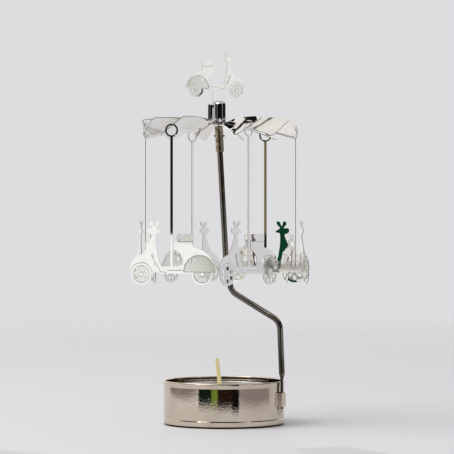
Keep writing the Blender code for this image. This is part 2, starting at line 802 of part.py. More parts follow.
def hub_cap(group):
    """Domed cap over the needle, standing on the fan's sheet."""
    foot = SHEET_HIGH + FINE_GAP
    outer = arc((CAP_RADIUS - CAP_ROUND, CAP_TOP - CAP_ROUND), CAP_ROUND, math.pi / 2, 0, 6)
    inner_round = CAP_ROUND - CAP_WALL
    inner = arc(
        (CAP_RADIUS - CAP_ROUND, CAP_TOP - CAP_ROUND), inner_round, 0, math.pi / 2, 6
    )
    profile = [
        (0, CAP_TOP),
        *outer,
        (CAP_RADIUS, foot),
        (CAP_INNER, foot),
        *inner,
        (0, CAP_TOP - CAP_WALL),
    ]
    cap = turned("hub_cap", profile, HUB_STEPS, group)
    cap.location = AXIS
    smooth(cap)
    return cap


def hub_eyelet(group):
    """Rolled eyelet that clamps the cap to the sheet from below."""
    top = SHEET_LOW - FINE_GAP
    neck = CAP_INNER - FINE_GAP
    crown = SHEET_HIGH + EYELET_NECK
    profile = [
        (EYELET_BORE, crown),
        (neck, crown),
        (neck, top),
        (EYELET_RADIUS, top),
        (EYELET_RADIUS, top - EYELET_SHEET),
        (EYELET_BORE, top - EYELET_SHEET),
    ]
    eyelet = turned("hub_eyelet", profile, HUB_STEPS, group)
    eyelet.location = AXIS
    smooth(eyelet)
    return eyelet


def bearing_cup(group):
    """Hard button under the cap's crown with a dimple for the needle's point."""
    profile = [
        (0, BEARING_TOP),
        (BEARING_RADIUS - BEARING_BEVEL, BEARING_TOP),
        (BEARING_RADIUS, BEARING_BOTTOM),
        (DIMPLE_RADIUS, BEARING_BOTTOM),
        (0, BEARING_BOTTOM + DIMPLE_DEPTH),
    ]
    button = turned("bearing_cup", profile, HUB_STEPS, group)
    button.location = AXIS
    smooth(button)
    return button


def share_points(shares, size_share):
    return [
        (x * SCOOTER_LENGTH * size_share, z * SCOOTER_HEIGHT * size_share) for x, z in shares
    ]


def scooter_outline(size_share, over_floor, under_floor):
    """The scooter's silhouette, with extra points let into its floor's top and underside."""
    radius = WHEEL_RADIUS * size_share
    front = (FRONT_WHEEL_X * size_share, radius)
    rear = (REAR_WHEEL_X * size_share, radius)
    return [
        (FLOOR_FRONT_BOTTOM * size_share, FLOOR_BOTTOM * size_share),
        *arc(front, radius, *FRONT_WHEEL_ARC, FRONT_WHEEL_STEPS),
        *share_points(NOSE_SHARES, size_share),
        (FLOOR_FRONT_TOP * size_share, FLOOR_TOP * size_share),
        *over_floor,
        (FLOOR_REAR_TOP * size_share, FLOOR_TOP * size_share),
        *share_points(SEAT_SHARES, size_share),
        *arc(rear, radius, *REAR_WHEEL_ARC, REAR_WHEEL_STEPS),
        (FLOOR_REAR_BOTTOM * size_share, FLOOR_BOTTOM * size_share),
        *under_floor,
    ]


def scooter_holes(size_share):
    """Round cut-outs in both wheels and the cowl, and the slit behind the front fender."""
    holes = []
    for wheel_x, angles in (
        (FRONT_WHEEL_X, FRONT_HOLE_ANGLES),
        (REAR_WHEEL_X, REAR_HOLE_ANGLES),
    ):
        for angle in angles:
            x = wheel_x + WHEEL_HOLE_REACH * math.cos(angle)
            z = WHEEL_RADIUS + WHEEL_HOLE_REACH * math.sin(angle)
            holes.append(hole_ring(x, z, WHEEL_HOLE_RADIUS, size_share))
    cowl_x, cowl_z = COWL_HOLE_SHARES
    holes.append(
        hole_ring(
            cowl_x * SCOOTER_LENGTH, cowl_z * SCOOTER_HEIGHT, COWL_HOLE_RADIUS, size_share
        )
    )
    (x0, z0), (x1, z1) = share_points(SHIELD_SLIT_SHARES, size_share)
    half = SHIELD_SLIT_WIDTH * size_share / 2
    holes.append([(x0 - half, z0), (x0 + half, z0), (x1 + half, z1), (x1 - half, z1)])
    return holes


def hole_ring(x, z, radius, size_share):
    center = (x * size_share, z * size_share)
    return arc(center, radius * size_share, 0, math.tau, HOLE_STEPS)[:-1]


def hanger_points():
    """The strip from the scooter's floor up to its open ring, whose centre is the frame's origin."""
    half = STRIP_WIDTH / 2
    center = (0, PENDANT_LENGTH - RING_RADIUS)
    join = math.asin(half / RING_RADIUS)
    foot = -math.pi / 2
    slit = RING_SLIT / 2 / RING_MIDDLE
    outer_long = arc(center, RING_RADIUS, foot - join, RING_SLIT_ANGLE - math.tau + slit, 18)
    inner = arc(center, RING_INNER, RING_SLIT_ANGLE - math.tau + slit, RING_SLIT_ANGLE - slit, 18)
    outer_short = arc(center, RING_RADIUS, RING_SLIT_ANGLE - slit, foot + join, 2)
    return [(-half, FLOOR_TOP), *outer_long, *inner, *outer_short, (half, FLOOR_TOP)]


def scooter_pendant(index, group):
    """One flat plate: ring, strip and scooter, hung through a blade's eye."""
    drop = PENDANT_LENGTH - RING_RADIUS
    outline = [(x, z - drop) for x, z in scooter_outline(1, hanger_points(), ())]
    holes = [[(x, z - drop) for x, z in hole] for hole in scooter_holes(1)]
    plate = flat_plate(f"scooter_pendant_{index + 1}", outline, holes, PLATE, group)
    plate.matrix_world = pendant_frame(index) @ plate.matrix_world
    return plate


def figure_frame():
    """The frame behind the cap with +X towards the top scooter's tail."""
    turn = Matrix.Rotation(FIGURE_TURN + math.pi, 4, "Z")
    return Matrix.Translation(AXIS) @ turn @ Matrix.Translation((0, -FORK_OFFSET, 0))


def fork_points():
    """The stem under the floor and the fork that straddles the cap, feet in the hub plate."""
    foot = SHEET_LOW - FORK_FOOT - FIGURE_BOTTOM
    top = FORK_TOP - FIGURE_BOTTOM
    floor = FLOOR_BOTTOM * FIGURE_SHARE
    left = FORK_SHIFT - FORK_HALF_SPAN
    right = FORK_SHIFT + FORK_HALF_SPAN
    return [
        (STEM_X + STEM_WIDTH / 2, floor),
        (STEM_X + STEM_WIDTH / 2, top),
        (right - FORK_CORNER, top),
        (right, top - FORK_CORNER),
        (right, foot),
        (right - FORK_LEG, foot),
        (right - FORK_LEG, top - FORK_BAR),
        (left + FORK_LEG, top - FORK_BAR),
        (left + FORK_LEG, foot),
        (left, foot),
        (left, top - FORK_CORNER),
        (left + FORK_CORNER, top),
        (STEM_X - STEM_WIDTH / 2, top),
        (STEM_X - STEM_WIDTH / 2, floor),
    ]


def fork_slots(group):
    """Slots in the hub plate for the fork's feet."""
    slots = []
    for side in (-1, 1):
        place_x = FORK_SHIFT + side * (FORK_HALF_SPAN - FORK_LEG / 2)
        world = figure_frame() @ Matrix.Translation((place_x, 0, SHEET_HEIGHT))
        size = (FORK_LEG + 2 * FINE_GAP, PLATE + 2 * FINE_GAP, SHEET + 2 * OVERRUN)
        slots.append(block("fork_slot", size, world, group))
    return slots


def top_figure(group):
    """The small scooter above the fan, cut in one piece with its fork."""
    outline = scooter_outline(FIGURE_SHARE, (), fork_points())
    plate = flat_plate("top_figure", outline, scooter_holes(FIGURE_SHARE), PLATE, group)
    lift = Matrix.Translation((0, 0, FIGURE_BOTTOM))
    plate.matrix_world = figure_frame() @ lift @ plate.matrix_world
    return plate


def build():
    clear_scene()
    group = new_collection(COLLECTION)
    tin = ("satin_tin", (0.66, 0.62, 0.58), 0.32, 1.0)
    thin = ("thin_aluminium", (0.82, 0.82, 0.82), 0.25, 1.0)
    dark = ("dark_steel", (0.42, 0.38, 0.35), 0.22, 1.0)
    bright = ("bright_nickel", (0.9, 0.9, 0.88), 0.08, 1.0)
    chrome = ("chrome", (0.62, 0.61, 0.62), 0.06, 1.0)
    wax = ("wax", (0.80, 0.81, 0.77), 0.45, 0.0)
    braid = ("wick_braid", (0.84, 0.70, 0.36), 0.9, 0.0)
    hard = ("hard_steel", (0.5, 0.5, 0.52), 0.2, 1.0)
    pieces = [
        (base_cup(group), tin),
        (tealight_cup(group), thin),
        (tealight_wax(group), wax),
        (wick_holder(group), thin),
        (wick(group), braid),
        (stand_rod(group), dark),
        (pivot_sleeve(group), dark),
        (sleeve_pin(group), hard),
        (pivot_needle(group), hard),
        (fan_rotor(group), bright),
        (hub_cap(group), chrome),
        (hub_eyelet(group), chrome),
        (bearing_cup(group), hard),
        (top_figure(group), bright),
    ]
    pieces += [(scooter_pendant(i, group), bright) for i in range(PENDANTS)]
    for piece, (name, color, roughness, metallic) in pieces:
        slot = material(f"{name}_{piece.name}", color, roughness, metallic)
        piece.data.materials.clear()
        piece.data.materials.append(slot)


build()
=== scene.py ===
# Candle carousel, dressed: finer metal pieces, etched scooter plates, finishes and a plain studio
import json
import math

import bmesh
import bpy
from mathutils import Matrix, Vector


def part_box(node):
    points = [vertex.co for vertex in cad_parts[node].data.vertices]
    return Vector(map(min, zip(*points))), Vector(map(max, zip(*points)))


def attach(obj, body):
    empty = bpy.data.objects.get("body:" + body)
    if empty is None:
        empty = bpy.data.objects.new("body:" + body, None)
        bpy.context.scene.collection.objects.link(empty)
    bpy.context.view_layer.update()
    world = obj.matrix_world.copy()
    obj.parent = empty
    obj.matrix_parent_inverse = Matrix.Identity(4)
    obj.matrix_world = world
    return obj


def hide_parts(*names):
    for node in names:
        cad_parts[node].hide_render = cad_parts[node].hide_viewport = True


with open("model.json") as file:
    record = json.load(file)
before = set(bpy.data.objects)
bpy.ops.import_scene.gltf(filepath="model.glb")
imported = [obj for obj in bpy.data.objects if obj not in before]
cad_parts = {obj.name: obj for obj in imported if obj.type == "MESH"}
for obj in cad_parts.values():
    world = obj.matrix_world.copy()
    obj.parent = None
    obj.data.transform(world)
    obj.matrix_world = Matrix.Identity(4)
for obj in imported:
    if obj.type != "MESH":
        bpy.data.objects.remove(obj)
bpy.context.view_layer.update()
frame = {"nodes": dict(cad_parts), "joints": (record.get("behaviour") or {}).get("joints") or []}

MM = 0.001
MERGE = 0.002 * MM

# Sizes that follow the frame's nodes
CUP_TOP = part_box("base_cup")[1].z
TEA_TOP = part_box("tealight_cup")[1].z
CAP_FOOT, CAP_TOP = (corner.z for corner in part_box("hub_cap"))
SPIN = next(j for j in frame["joints"] if j["name"] == "rotor_spin")
AXIS = Vector((SPIN["pos_m"][0], SPIN["pos_m"][1], 0))
SWINGS = [j for j in frame["joints"] if j["name"].endswith("_swing")]


# Helpers for modelling by operators


def start_clean():
    """Object mode with nothing selected."""
    if bpy.context.mode != "OBJECT":
        bpy.ops.object.mode_set(mode="OBJECT")
    bpy.ops.object.select_all(action="DESELECT")


def only(thing):
    start_clean()
    bpy.context.view_layer.objects.active = thing
    thing.select_set(True)


def keep_place(thing):
    """Puts the object's place into its mesh."""
    only(thing)
    bpy.ops.object.transform_apply(location=True, rotation=True, scale=True)


def put(thing, matrix):
    """Moves a finished mesh under a matrix and keeps the place in the mesh."""
    thing.matrix_world = matrix @ thing.matrix_world
    keep_place(thing)


def added(name, size=(1, 1, 1)):
    """The piece an operator just added: named, sized and with its place kept in its mesh."""
    thing = bpy.context.object
    thing.name = name
    thing.scale = size
    keep_place(thing)
    return thing


def edit_all():
    bpy.ops.object.mode_set(mode="EDIT")
    bpy.ops.mesh.select_all(action="SELECT")


def extrude(step):
    bpy.ops.mesh.extrude_region_move(TRANSFORM_OT_translate={"value": step})


def joined(things):
    start_clean()
    for thing in things:
        thing.select_set(True)
    bpy.context.view_layer.objects.active = things[0]
    bpy.ops.object.join()
    return things[0]


def placed(name, data):
    """A new object in the scene."""
    thing = bpy.data.objects.new(name, data)
    bpy.context.scene.collection.objects.link(thing)
    return thing


def metres(rows):
    """Rows of millimetres as rows of metres."""
    return [tuple(value * MM for value in row) for row in rows]


def two_finishes(thing, face, edge):
    thing.data.materials.clear()
    thing.data.materials.append(face)
    thing.data.materials.append(edge)


def block(size, place):
    """A plain block for cutting, centred on its place."""
    start_clean()
    bpy.ops.mesh.primitive_cube_add(size=1, location=place)
    return added("block", size)


def round_bar(radius, length, place, turn=(0, 0, 0), corners=32):
    """A plain cylinder for cutting, centred on its place."""
    start_clean()
    bpy.ops.mesh.primitive_cylinder_add(
        vertices=corners, radius=radius, depth=length, location=place, rotation=turn
    )
    return added("round_bar")


def tidy_mesh(thing, angle=35):
    """Merged, outward and smooth with sharp edges past the angle."""
    only(thing)
    edit_all()
    bpy.ops.mesh.remove_doubles(threshold=MERGE)
    bpy.ops.mesh.normals_make_consistent(inside=False)
    bpy.ops.object.mode_set(mode="OBJECT")
    bpy.ops.object.shade_smooth_by_angle(angle=math.radians(angle))


def lathe(name, rings, segments):
    """Extrudes a circle through (radius, height) rings, closing onto the axis or onto itself."""
    start_clean()
    before, height = max(rings[0][0], MERGE), rings[0][1]
    bpy.ops.mesh.primitive_circle_add(vertices=segments, radius=before, location=(0, 0, height))
    thing = added(name)
    edit_all()
    for radius, next_height in rings[1:]:
        reach = max(radius, MERGE)
        share = reach / before
        middle = (0, 0, next_height)
        extrude((0, 0, next_height - height))
        bpy.ops.transform.resize(value=(share, share, 1), center_override=middle)
        before, height = reach, next_height
    tidy_mesh(thing)
    close_poles(thing)
    return thing


def close_poles(thing):
    """Merges the tiny rings left on the axis into one point each."""
    shape = bmesh.new()
    shape.from_mesh(thing.data)
    near = [v for v in shape.verts if v.co.xy.length < 2 * MERGE]
    bmesh.ops.remove_doubles(shape, verts=near, dist=4 * MERGE)
    shape.to_mesh(thing.data)
    shape.free()


def arc(center, radius, start, end, steps):
    """Points round a centre from one angle to another."""
    x, z = center
    angles = [start + (end - start) * i / steps for i in range(steps + 1)]
    return [(x + radius * math.cos(angle), z + radius * math.sin(angle)) for angle in angles]


def finish_modifiers(thing):
    only(thing)
    for change in list(thing.modifiers):
        bpy.ops.object.modifier_apply(modifier=change.name)


def pick(thing, test):
    """Edit mode with only the corners selected whose place passes the test."""
    only(thing)
    bpy.ops.object.mode_set(mode="EDIT")
    bpy.ops.mesh.select_mode(type="VERT")
    bpy.ops.mesh.select_all(action="DESELECT")
    bpy.ops.object.mode_set(mode="OBJECT")
    for vert in thing.data.vertices:
        vert.select = test(vert.co)
    bpy.ops.object.mode_set(mode="EDIT")


def boolean(thing, other, operation):
    change = thing.modifiers.new("change", "BOOLEAN")
    change.operation = operation
    change.solver = "EXACT"
    change.object = other
    finish_modifiers(thing)
    bpy.data.objects.remove(other, do_unlink=True)


def dressed(thing, finish, body, node):
    """Gives a piece its finish, unless it has two of its own, and lets it stand for its CAD node."""
    if len(thing.data.materials) < 2:
        thing.data.materials.clear()
        thing.data.materials.append(finish)
    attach(thing, body)
    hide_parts(node)


# Shader maths as Python expressions


def operation(name):
    """A method that puts a signal, and what it is given, through one maths node."""

    def method(self, *others):
        return self.finish.add("Math", {"operation": name}, [self, *others])

    return method


class Signal:
    """A node's output that takes part in sums."""

    def __init__(self, finish, socket):
        self.finish = finish
        self.socket = socket

    __add__ = operation("ADD")
    __sub__ = operation("SUBTRACT")
    __mul__ = operation("MULTIPLY")
    __truediv__ = operation("DIVIDE")
    __abs__ = operation("ABSOLUTE")
    root = operation("SQRT")
    sine = operation("SINE")
    least = operation("MINIMUM")
    most = operation("MAXIMUM")

    def __rsub__(self, other):
        return self.finish.add("Math", {"operation": "SUBTRACT"}, [other, self])

    def ramp(self, low, high):
        """0 below low, 1 above high."""
        settings = {"interpolation_type": "SMOOTHSTEP"}
        return self.finish.add("MapRange", settings, [self, low, high])

    def band(self, low, high, soft):
        """1 between low and high, falling off over soft on both sides."""
        return self.ramp(low - soft, low) * (1 - self.ramp(high, high + soft))


class Finish:
    """One procedural material on a Principled shader."""

    def __init__(self, name, metallic=0.0):
        self.material = bpy.data.materials.new(name)
        self.material.use_nodes = True
        self.tree = self.material.node_tree
        self.set("Metallic", metallic)

    def set(self, socket, value):
        target = self.tree.nodes["Principled BSDF"].inputs[socket]
        if isinstance(value, Signal):
            self.tree.links.new(value.socket, target)
        else:
            target.default_value = value

    def add(self, kind, settings=None, inputs=(), output=0):
        node = self.tree.nodes.new("ShaderNode" + kind)
        for key, value in (settings or {}).items():
            setattr(node, key, value)
        pairs = inputs.items() if isinstance(inputs, dict) else enumerate(inputs)
        for key, value in pairs:
            if isinstance(value, Signal):
                self.tree.links.new(value.socket, node.inputs[key])
            else:
                node.inputs[key].default_value = value
        return Signal(self, node.outputs[output])

    def parts(self, vector):
        """A vector's x, y and z as signals."""
        return [self.add("SeparateXYZ", None, [vector], output=i) for i in range(3)]

    def joined(self, x, y, z):
        return self.add("CombineXYZ", None, [x, y, z])

    def place(self):
        """Object coordinates in millimetres, as x, y and z signals."""
        where = self.add("TexCoord", output="Object")
        values = {"Vector": where, "Scale": 1 / MM}
        return self.parts(self.add("VectorMath", {"operation": "SCALE"}, values))

    def motif(self):
        """The scooter plate's own coordinates in millimetres, across and up."""
        parts = self.parts(self.add("UVMap", {"uv_map": "motif"}))
        return [(part - 0.5) * MOTIF_SPAN for part in parts[:2]]

    def noise(self, vector, scale, detail=2.0, rough=0.5):
        values = {"Vector": vector, "Scale": scale, "Detail": detail, "Roughness": rough}
        return self.add("TexNoise", None, values)

    def speck(self, scale, detail=2.0, rough=0.5, stretch=(1, 1, 1)):
        """Noise over the piece's own millimetres, closer together along a stretched axis."""
        parts = [part * much for part, much in zip(self.place(), stretch)]
        return self.noise(self.joined(*parts), scale, detail, rough)

    def mix(self, share, first, second):
        colors = [(*c, 1.0) if isinstance(c, tuple) else c for c in (first, second)]
        values = {0: share, 6: colors[0], 7: colors[1]}
        return self.add("Mix", {"data_type": "RGBA"}, values, output=2)

    def look(self, share, first, second, rough):
        """Colour from first to second by a share, and roughness."""
        self.set("Base Color", self.mix(share, first, second))
        self.set("Roughness", rough)

    def bumped(self, height, strength, distance):
        """The finished material, with its fine relief."""
        values = {"Height": height, "Strength": strength, "Distance": distance}
        self.set("Normal", self.add("Bump", None, values))
        return self.material


# Finishes


# Where the strap's wire has rubbed the tin: x and y in millimetres
RUBBED_SPOT = (23.9, -10.6)


def tin_plate():
    """Satin tinned steel: crystal grain, faint rolling marks round the wall, rubbed near the strap."""
    finish = Finish("tin_plate", 1.0)
    grain = finish.speck(1.5, 1.5, 0.6)
    cloud = finish.speck(0.12).ramp(0.35, 0.7)
    rolled = finish.speck(1.0, stretch=(0.15, 0.15, 5))
    away = [part - middle for part, middle in zip(finish.place(), RUBBED_SPOT)]
    rubbed = 1 - (away[0] * away[0] + away[1] * away[1]).ramp(12, 110)
    rough = grain * 0.04 + rolled * 0.02 + rubbed * 0.2 + 0.015
    finish.look(cloud, (0.62, 0.53, 0.435), (0.71, 0.62, 0.52), rough)
    return finish.bumped(grain + rolled * 0.05, 0.9, 0.019 * MM)


def drawn_wire():
    """Nickelled wire with fine marks along its length, darker in colour low down on its flat foot."""
    finish = Finish("drawn_wire", 1.0)
    along = finish.speck(1.0, 3.0, stretch=(6, 6, 0.12))
    round_part = finish.place()[2].ramp(20.5, 22.5)
    bright = finish.mix(along.ramp(0.3, 0.7), (0.125, 0.108, 0.096), (0.23, 0.205, 0.182))
    finish.look(round_part, (0.050, 0.044, 0.040), bright, along * 0.10 + 0.07)
    return finish.bumped(along, 0.3, 0.02 * MM)


def brassy_tube():
    """The sleeve: warm nickel with worn, brassy patches."""
    finish = Finish("brassy_tube", 1.0)
    spot = finish.speck(0.55, 3.0)
    finish.look(spot.ramp(0.4, 0.62), (0.46, 0.40, 0.33), (0.30, 0.22, 0.12), spot * 0.15 + 0.14)
    return finish.material


def mirror_sheet():
    """The fan's bright plated sheet, slightly uneven from bending."""
    finish = Finish("mirror_sheet", 1.0)
    wave = finish.speck(0.09, 1.0)
    fine = finish.speck(1.4)
    finish.look(wave.ramp(0.4, 0.65), (0.90, 0.89, 0.86), (0.84, 0.82, 0.77), fine * 0.03 + 0.03)
    return finish.bumped(wave * 4 + fine * 0.08, 0.25, 0.12 * MM)


def cut_edge(name, dark, pale):
    """The etched or cut edge of thin sheet: darker and less smooth than its faces."""
    finish = Finish(name, 0.6)
    bite = finish.speck(3.5)
    finish.look(bite.ramp(0.3, 0.7), dark, pale, bite * 0.2 + 0.35)
    return finish.bumped(bite, 0.3, 0.04 * MM)


def polished_chrome():
    """Bright dark chrome with hair scratches."""
    finish = Finish("polished_chrome", 1.0)
    hair = finish.speck(1.0, stretch=(0.6, 0.6, 7))
    finish.look(hair.ramp(0.3, 0.7), (0.44, 0.43, 0.45), (0.54, 0.53, 0.55), hair * 0.02 + 0.02)
    return finish.material


def hardened_steel():
    """Plain grey steel of the pin and the bearing."""
    finish = Finish("hardened_steel", 1.0)
    fine = finish.speck(3.0)
    finish.look(fine, (0.34, 0.35, 0.36), (0.46, 0.46, 0.47), fine * 0.1 + 0.16)
    return finish.material


def rolled_aluminium():
    """Thin tealight cup: pale foil with small dents."""
    finish = Finish("rolled_aluminium", 1.0)
    dent = finish.speck(0.22)
    fine = finish.speck(1.0, stretch=(0.3, 0.3, 4))
    finish.look(fine, (0.78, 0.78, 0.78), (0.88, 0.88, 0.87), fine * 0.14 + 0.20)
    return finish.bumped(dent * 2 + fine * 0.2, 0.4, 0.2 * MM)


def candle_wax():
    """Warm white wax with a faint bloom."""
    finish = Finish("candle_wax")
    finish.set("Subsurface Weight", 0.25)
    finish.set("Subsurface Scale", 3 * MM)
    bloom = finish.speck(0.25, 3.0)
    finish.look(bloom.ramp(0.35, 0.7), (0.63, 0.57, 0.47), (0.73, 0.67, 0.56), bloom * 0.2 + 0.32)
    return finish.bumped(bloom, 0.2, 0.3 * MM)


def waxed_braid():
    """Flat cotton wick, waxed yellow, with a plaited surface."""
    finish = Finish("waxed_braid")
    x, y, z = finish.place()
    left, right = ((x * slant + z * 5).sine() for slant in (5, -5))
    plait = left.most(right) * 0.5 + 0.5
    finish.look(plait, (0.74, 0.58, 0.26), (0.92, 0.80, 0.42), 0.75)
    return finish.bumped(plait, 0.6, 0.12 * MM)


def etched_nickel():
    """The scooters' bright plate with half-etched cowl, wheels and fine lines on both faces."""
    finish = Finish("etched_nickel", 1.0)
    x, z = finish.motif()
    cowl_x, cowl_z = (x - 12.1) / 6.7, (z - 5.6) / 6.9
    from_cowl = (cowl_x * cowl_x + cowl_z * cowl_z).root()
    over_sill, below_sill = z.ramp(5.4, 5.6), 1 - z.ramp(5.2, 5.4)
    cowl = (1 - from_cowl.ramp(0.97, 1.0)) * over_sill
    front, front_lines = wheel_marks(x, z, FRONT_WHEEL_X)
    rear, rear_lines = wheel_marks(x, z, REAR_WHEEL_X)
    lines = from_cowl.band(0.985, 1.015, 0.025) * over_sill
    for start, end, half in ETCHED_LINES:
        lines = lines.most(line_mark(x, z, start, end, half))
    fender = from_wheel(x, z, FRONT_WHEEL_X).band(4.75, 4.95, 0.07) * z.ramp(5.4, 5.9)
    lines = lines.most(fender).most(front_lines).most(rear_lines * below_sill).least(1)
    spot = finish.joined(x, z, 0)
    grain = finish.noise(spot, 9.0, 2.0, 0.6)
    haze = finish.noise(spot, 0.35)
    etched = cowl.most(front.most(rear * below_sill))
    bright = finish.mix(haze.ramp(0.35, 0.7), (0.93, 0.925, 0.905), (0.88, 0.87, 0.845))
    dull = finish.mix(etched * 0.75, bright, (0.85, 0.85, 0.81))
    rough = grain * 0.02 + etched * 0.09 + lines * 0.05 + 0.012
    finish.look(lines * 0.4, dull, (0.20, 0.19, 0.17), rough)
    return finish.bumped(grain * (etched * 0.1 + 0.02) - etched * 0.6 - lines * 0.6, 0.2, 0.05 * MM)


def from_wheel(x, z, wheel_x):
    """Distance from a wheel's centre in the motif's millimetres."""
    away_x, away_z = x - wheel_x / MM, z - WHEEL_RADIUS / MM
    return (away_x * away_x + away_z * away_z).root()


def wheel_marks(x, z, wheel_x):
    """Half-etched disc inside a wheel's tyre, with the grooves that ring it."""
    away = from_wheel(x, z, wheel_x)
    disc = away.band(1.1, 3.45, 0.06)
    groove = away.band(3.48, 3.62, 0.06).most(away.band(0.82, 0.94, 0.05))
    return disc, groove


def line_mark(x, z, start, end, half):
    """1 along the straight line from start to end in the motif's millimetres."""
    span = Vector(end) - Vector(start)
    along = span.normalized()
    way = (x - start[0]) * along.x + (z - start[1]) * along.y
    side = (x - start[0]) * along.y - (z - start[1]) * along.x
    return (1 - abs(side).ramp(half * 0.7, half * 1.4)) * way.band(0, span.length, 0.15)


# The scooter motif in metres, nose towards -x and wheels on z = 0

# Width in millimetres that the motif's UV map covers
MOTIF_SPAN = 200
# Fine lines in the motif's millimetres: start, end and half the width
ETCHED_LINES = (
    ((-8.7, 12.6), (-4.65, 5.6), 0.16),
    ((-4.65, 5.6), (-2.2, 5.3), 0.12),
    ((-1.8, 6.2), (4.7, 6.2), 0.13),
    ((2.6, 18.2), (9.8, 18.2), 0.12),
)
PLATE = 0.3 * MM
EDGE_BEVEL = 0.09 * MM
LENGTH = 38.3 * MM
HEIGHT = 27.0 * MM
WHEEL_RADIUS = 4.52 * MM
FRONT_WHEEL_X = -13.1 * MM
REAR_WHEEL_X = 13.21 * MM
FLOOR_TOP = 7.8 * MM
FLOOR_BOTTOM = 4.7 * MM
PENDANT_LENGTH = 67.6 * MM
WHEEL_WINDOWS = (
    (FRONT_WHEEL_X, (-150, -90, -30, 30, 90, 150)),
    (REAR_WHEEL_X, (-160, -112, -68, -20)),
)
WINDOW_REACH = 2.58 * MM
WINDOW_RADIUS = 0.82 * MM
COWL_WINDOW = (8.9 * MM, 10.3 * MM, 1.2 * MM)
RING_RADIUS = 2.8 * MM
RING_BAND = 0.7 * MM
RING_INNER = RING_RADIUS - RING_BAND
RING_MIDDLE = RING_RADIUS - RING_BAND / 2
RING_SLIT = 0.35 * MM
RING_SLIT_ANGLE = math.radians(-52)
STRIP_HALF = 0.55 * MM
NOSE = (
    (-0.472, 0.237), (-0.475, 0.281), (-0.446, 0.370), (-0.398, 0.437), (-0.350, 0.470),
    (-0.321, 0.485), (-0.300, 0.533), (-0.268, 0.622), (-0.239, 0.711), (-0.225, 0.778),
    (-0.249, 0.793), (-0.276, 0.819), (-0.281, 0.856), (-0.263, 0.885), (-0.231, 0.881),
    (-0.215, 0.896), (-0.236, 0.922), (-0.249, 0.956), (-0.236, 0.993), (-0.210, 0.989),
    (-0.202, 0.948), (-0.194, 0.915), (-0.180, 0.952), (-0.164, 0.993), (-0.138, 0.996),
    (-0.133, 0.956), (-0.151, 0.922), (-0.172, 0.889), (-0.154, 0.863), (-0.127, 0.844),
    (-0.122, 0.815), (-0.167, 0.804), (-0.175, 0.719), (-0.170, 0.593), (-0.151, 0.422),
)
SEAT = (
    (0.117, 0.307), (0.130, 0.363), (0.127, 0.422), (0.103, 0.478), (0.061, 0.526),
    (0.027, 0.563), (0.024, 0.622), (0.032, 0.667), (0.085, 0.678), (0.111, 0.696),
    (0.085, 0.726), (0.069, 0.759), (0.090, 0.781), (0.159, 0.785), (0.231, 0.789),
    (0.247, 0.763), (0.247, 0.700), (0.236, 0.670), (0.236, 0.626), (0.249, 0.585),
    (0.297, 0.567), (0.347, 0.541), (0.395, 0.496), (0.438, 0.437), (0.472, 0.367),
    (0.499, 0.289), (0.525, 0.204), (0.496, 0.181),
)


def softened(points, steps=3):
    """A smooth run through the points."""
    run = [Vector(p) for p in points]
    path = []
    for i in range(len(run) - 1):
        before = run[max(i - 1, 0)]
        after = run[min(i + 2, len(run) - 1)]
        a, b = run[i], run[i + 1]
        pull = 0.5 * (b - a).length
        out = (b - before).normalized() * pull
        back = (after - a).normalized() * pull
        for step in range(steps):
            t = step / steps
            path.append(
                a * (2 * t**3 - 3 * t**2 + 1) + out * (t**3 - 2 * t**2 + t)
                + b * (3 * t**2 - 2 * t**3) + back * (t**3 - t**2)
            )
    path.append(run[-1])
    return [tuple(p) for p in path]


def shares_to_metres(shares, size):
    return [(x * LENGTH * size, z * HEIGHT * size) for x, z in shares]


def scooter_run(size, over_floor, under_floor):
    """The scooter's outline with points let into its floor's top and underside."""
    radius = WHEEL_RADIUS * size
    front = (FRONT_WHEEL_X * size, radius)
    rear = (REAR_WHEEL_X * size, radius)
    return [
        (-0.111 * LENGTH * size, FLOOR_BOTTOM * size),
        *arc(front, radius, math.radians(16), math.radians(-194), 40),
        *softened(shares_to_metres(NOSE, size)),
        (-0.117 * LENGTH * size, FLOOR_TOP * size),
        *over_floor,
        (0.08 * LENGTH * size, FLOOR_TOP * size),
        *softened(shares_to_metres(SEAT, size)),
        *arc(rear, radius, math.radians(10), math.radians(-188), 36),
        (0.175 * LENGTH * size, FLOOR_BOTTOM * size),
        *under_floor,
    ]


def hanger_run():
    """The strip from the floor up to its open ring and down again."""
    center = (0, PENDANT_LENGTH - RING_RADIUS)
    join = math.asin(STRIP_HALF / RING_RADIUS)
    foot = -math.pi / 2
    slit = RING_SLIT / 2 / RING_MIDDLE
    around = RING_SLIT_ANGLE - math.tau + slit
    return [
        (-STRIP_HALF, FLOOR_TOP),
        *arc(center, RING_RADIUS, foot - join, around, 56),
        *arc(center, RING_INNER, around, RING_SLIT_ANGLE - slit, 56),
        *arc(center, RING_RADIUS, RING_SLIT_ANGLE - slit, foot + join, 5),
        (STRIP_HALF, FLOOR_TOP),
    ]


def traced(name, points, push):
    """A closed outline drawn corner by corner, filled and pushed to its thickness."""
    start_clean()
    bpy.ops.mesh.primitive_plane_add(size=MM, location=points[0])
    thing = added(name)
    edit_all()
    bpy.ops.mesh.merge(type="CENTER")
    for before, after in zip(points, (*points[1:], points[0])):
        extrude(Vector(after) - Vector(before))
    bpy.ops.mesh.select_all(action="SELECT")
    bpy.ops.mesh.remove_doubles(threshold=MERGE)
    bpy.ops.mesh.edge_face_add()
    extrude(push)
    tidy_mesh(thing)
    return thing


def plate_from(name, run, thickness=PLATE):
    """A flat plate standing in XZ, centred on it."""
    half = thickness / 2
    points = [(x, -half, z) for x, z in run]
    return traced(name, points, (0, thickness, 0))


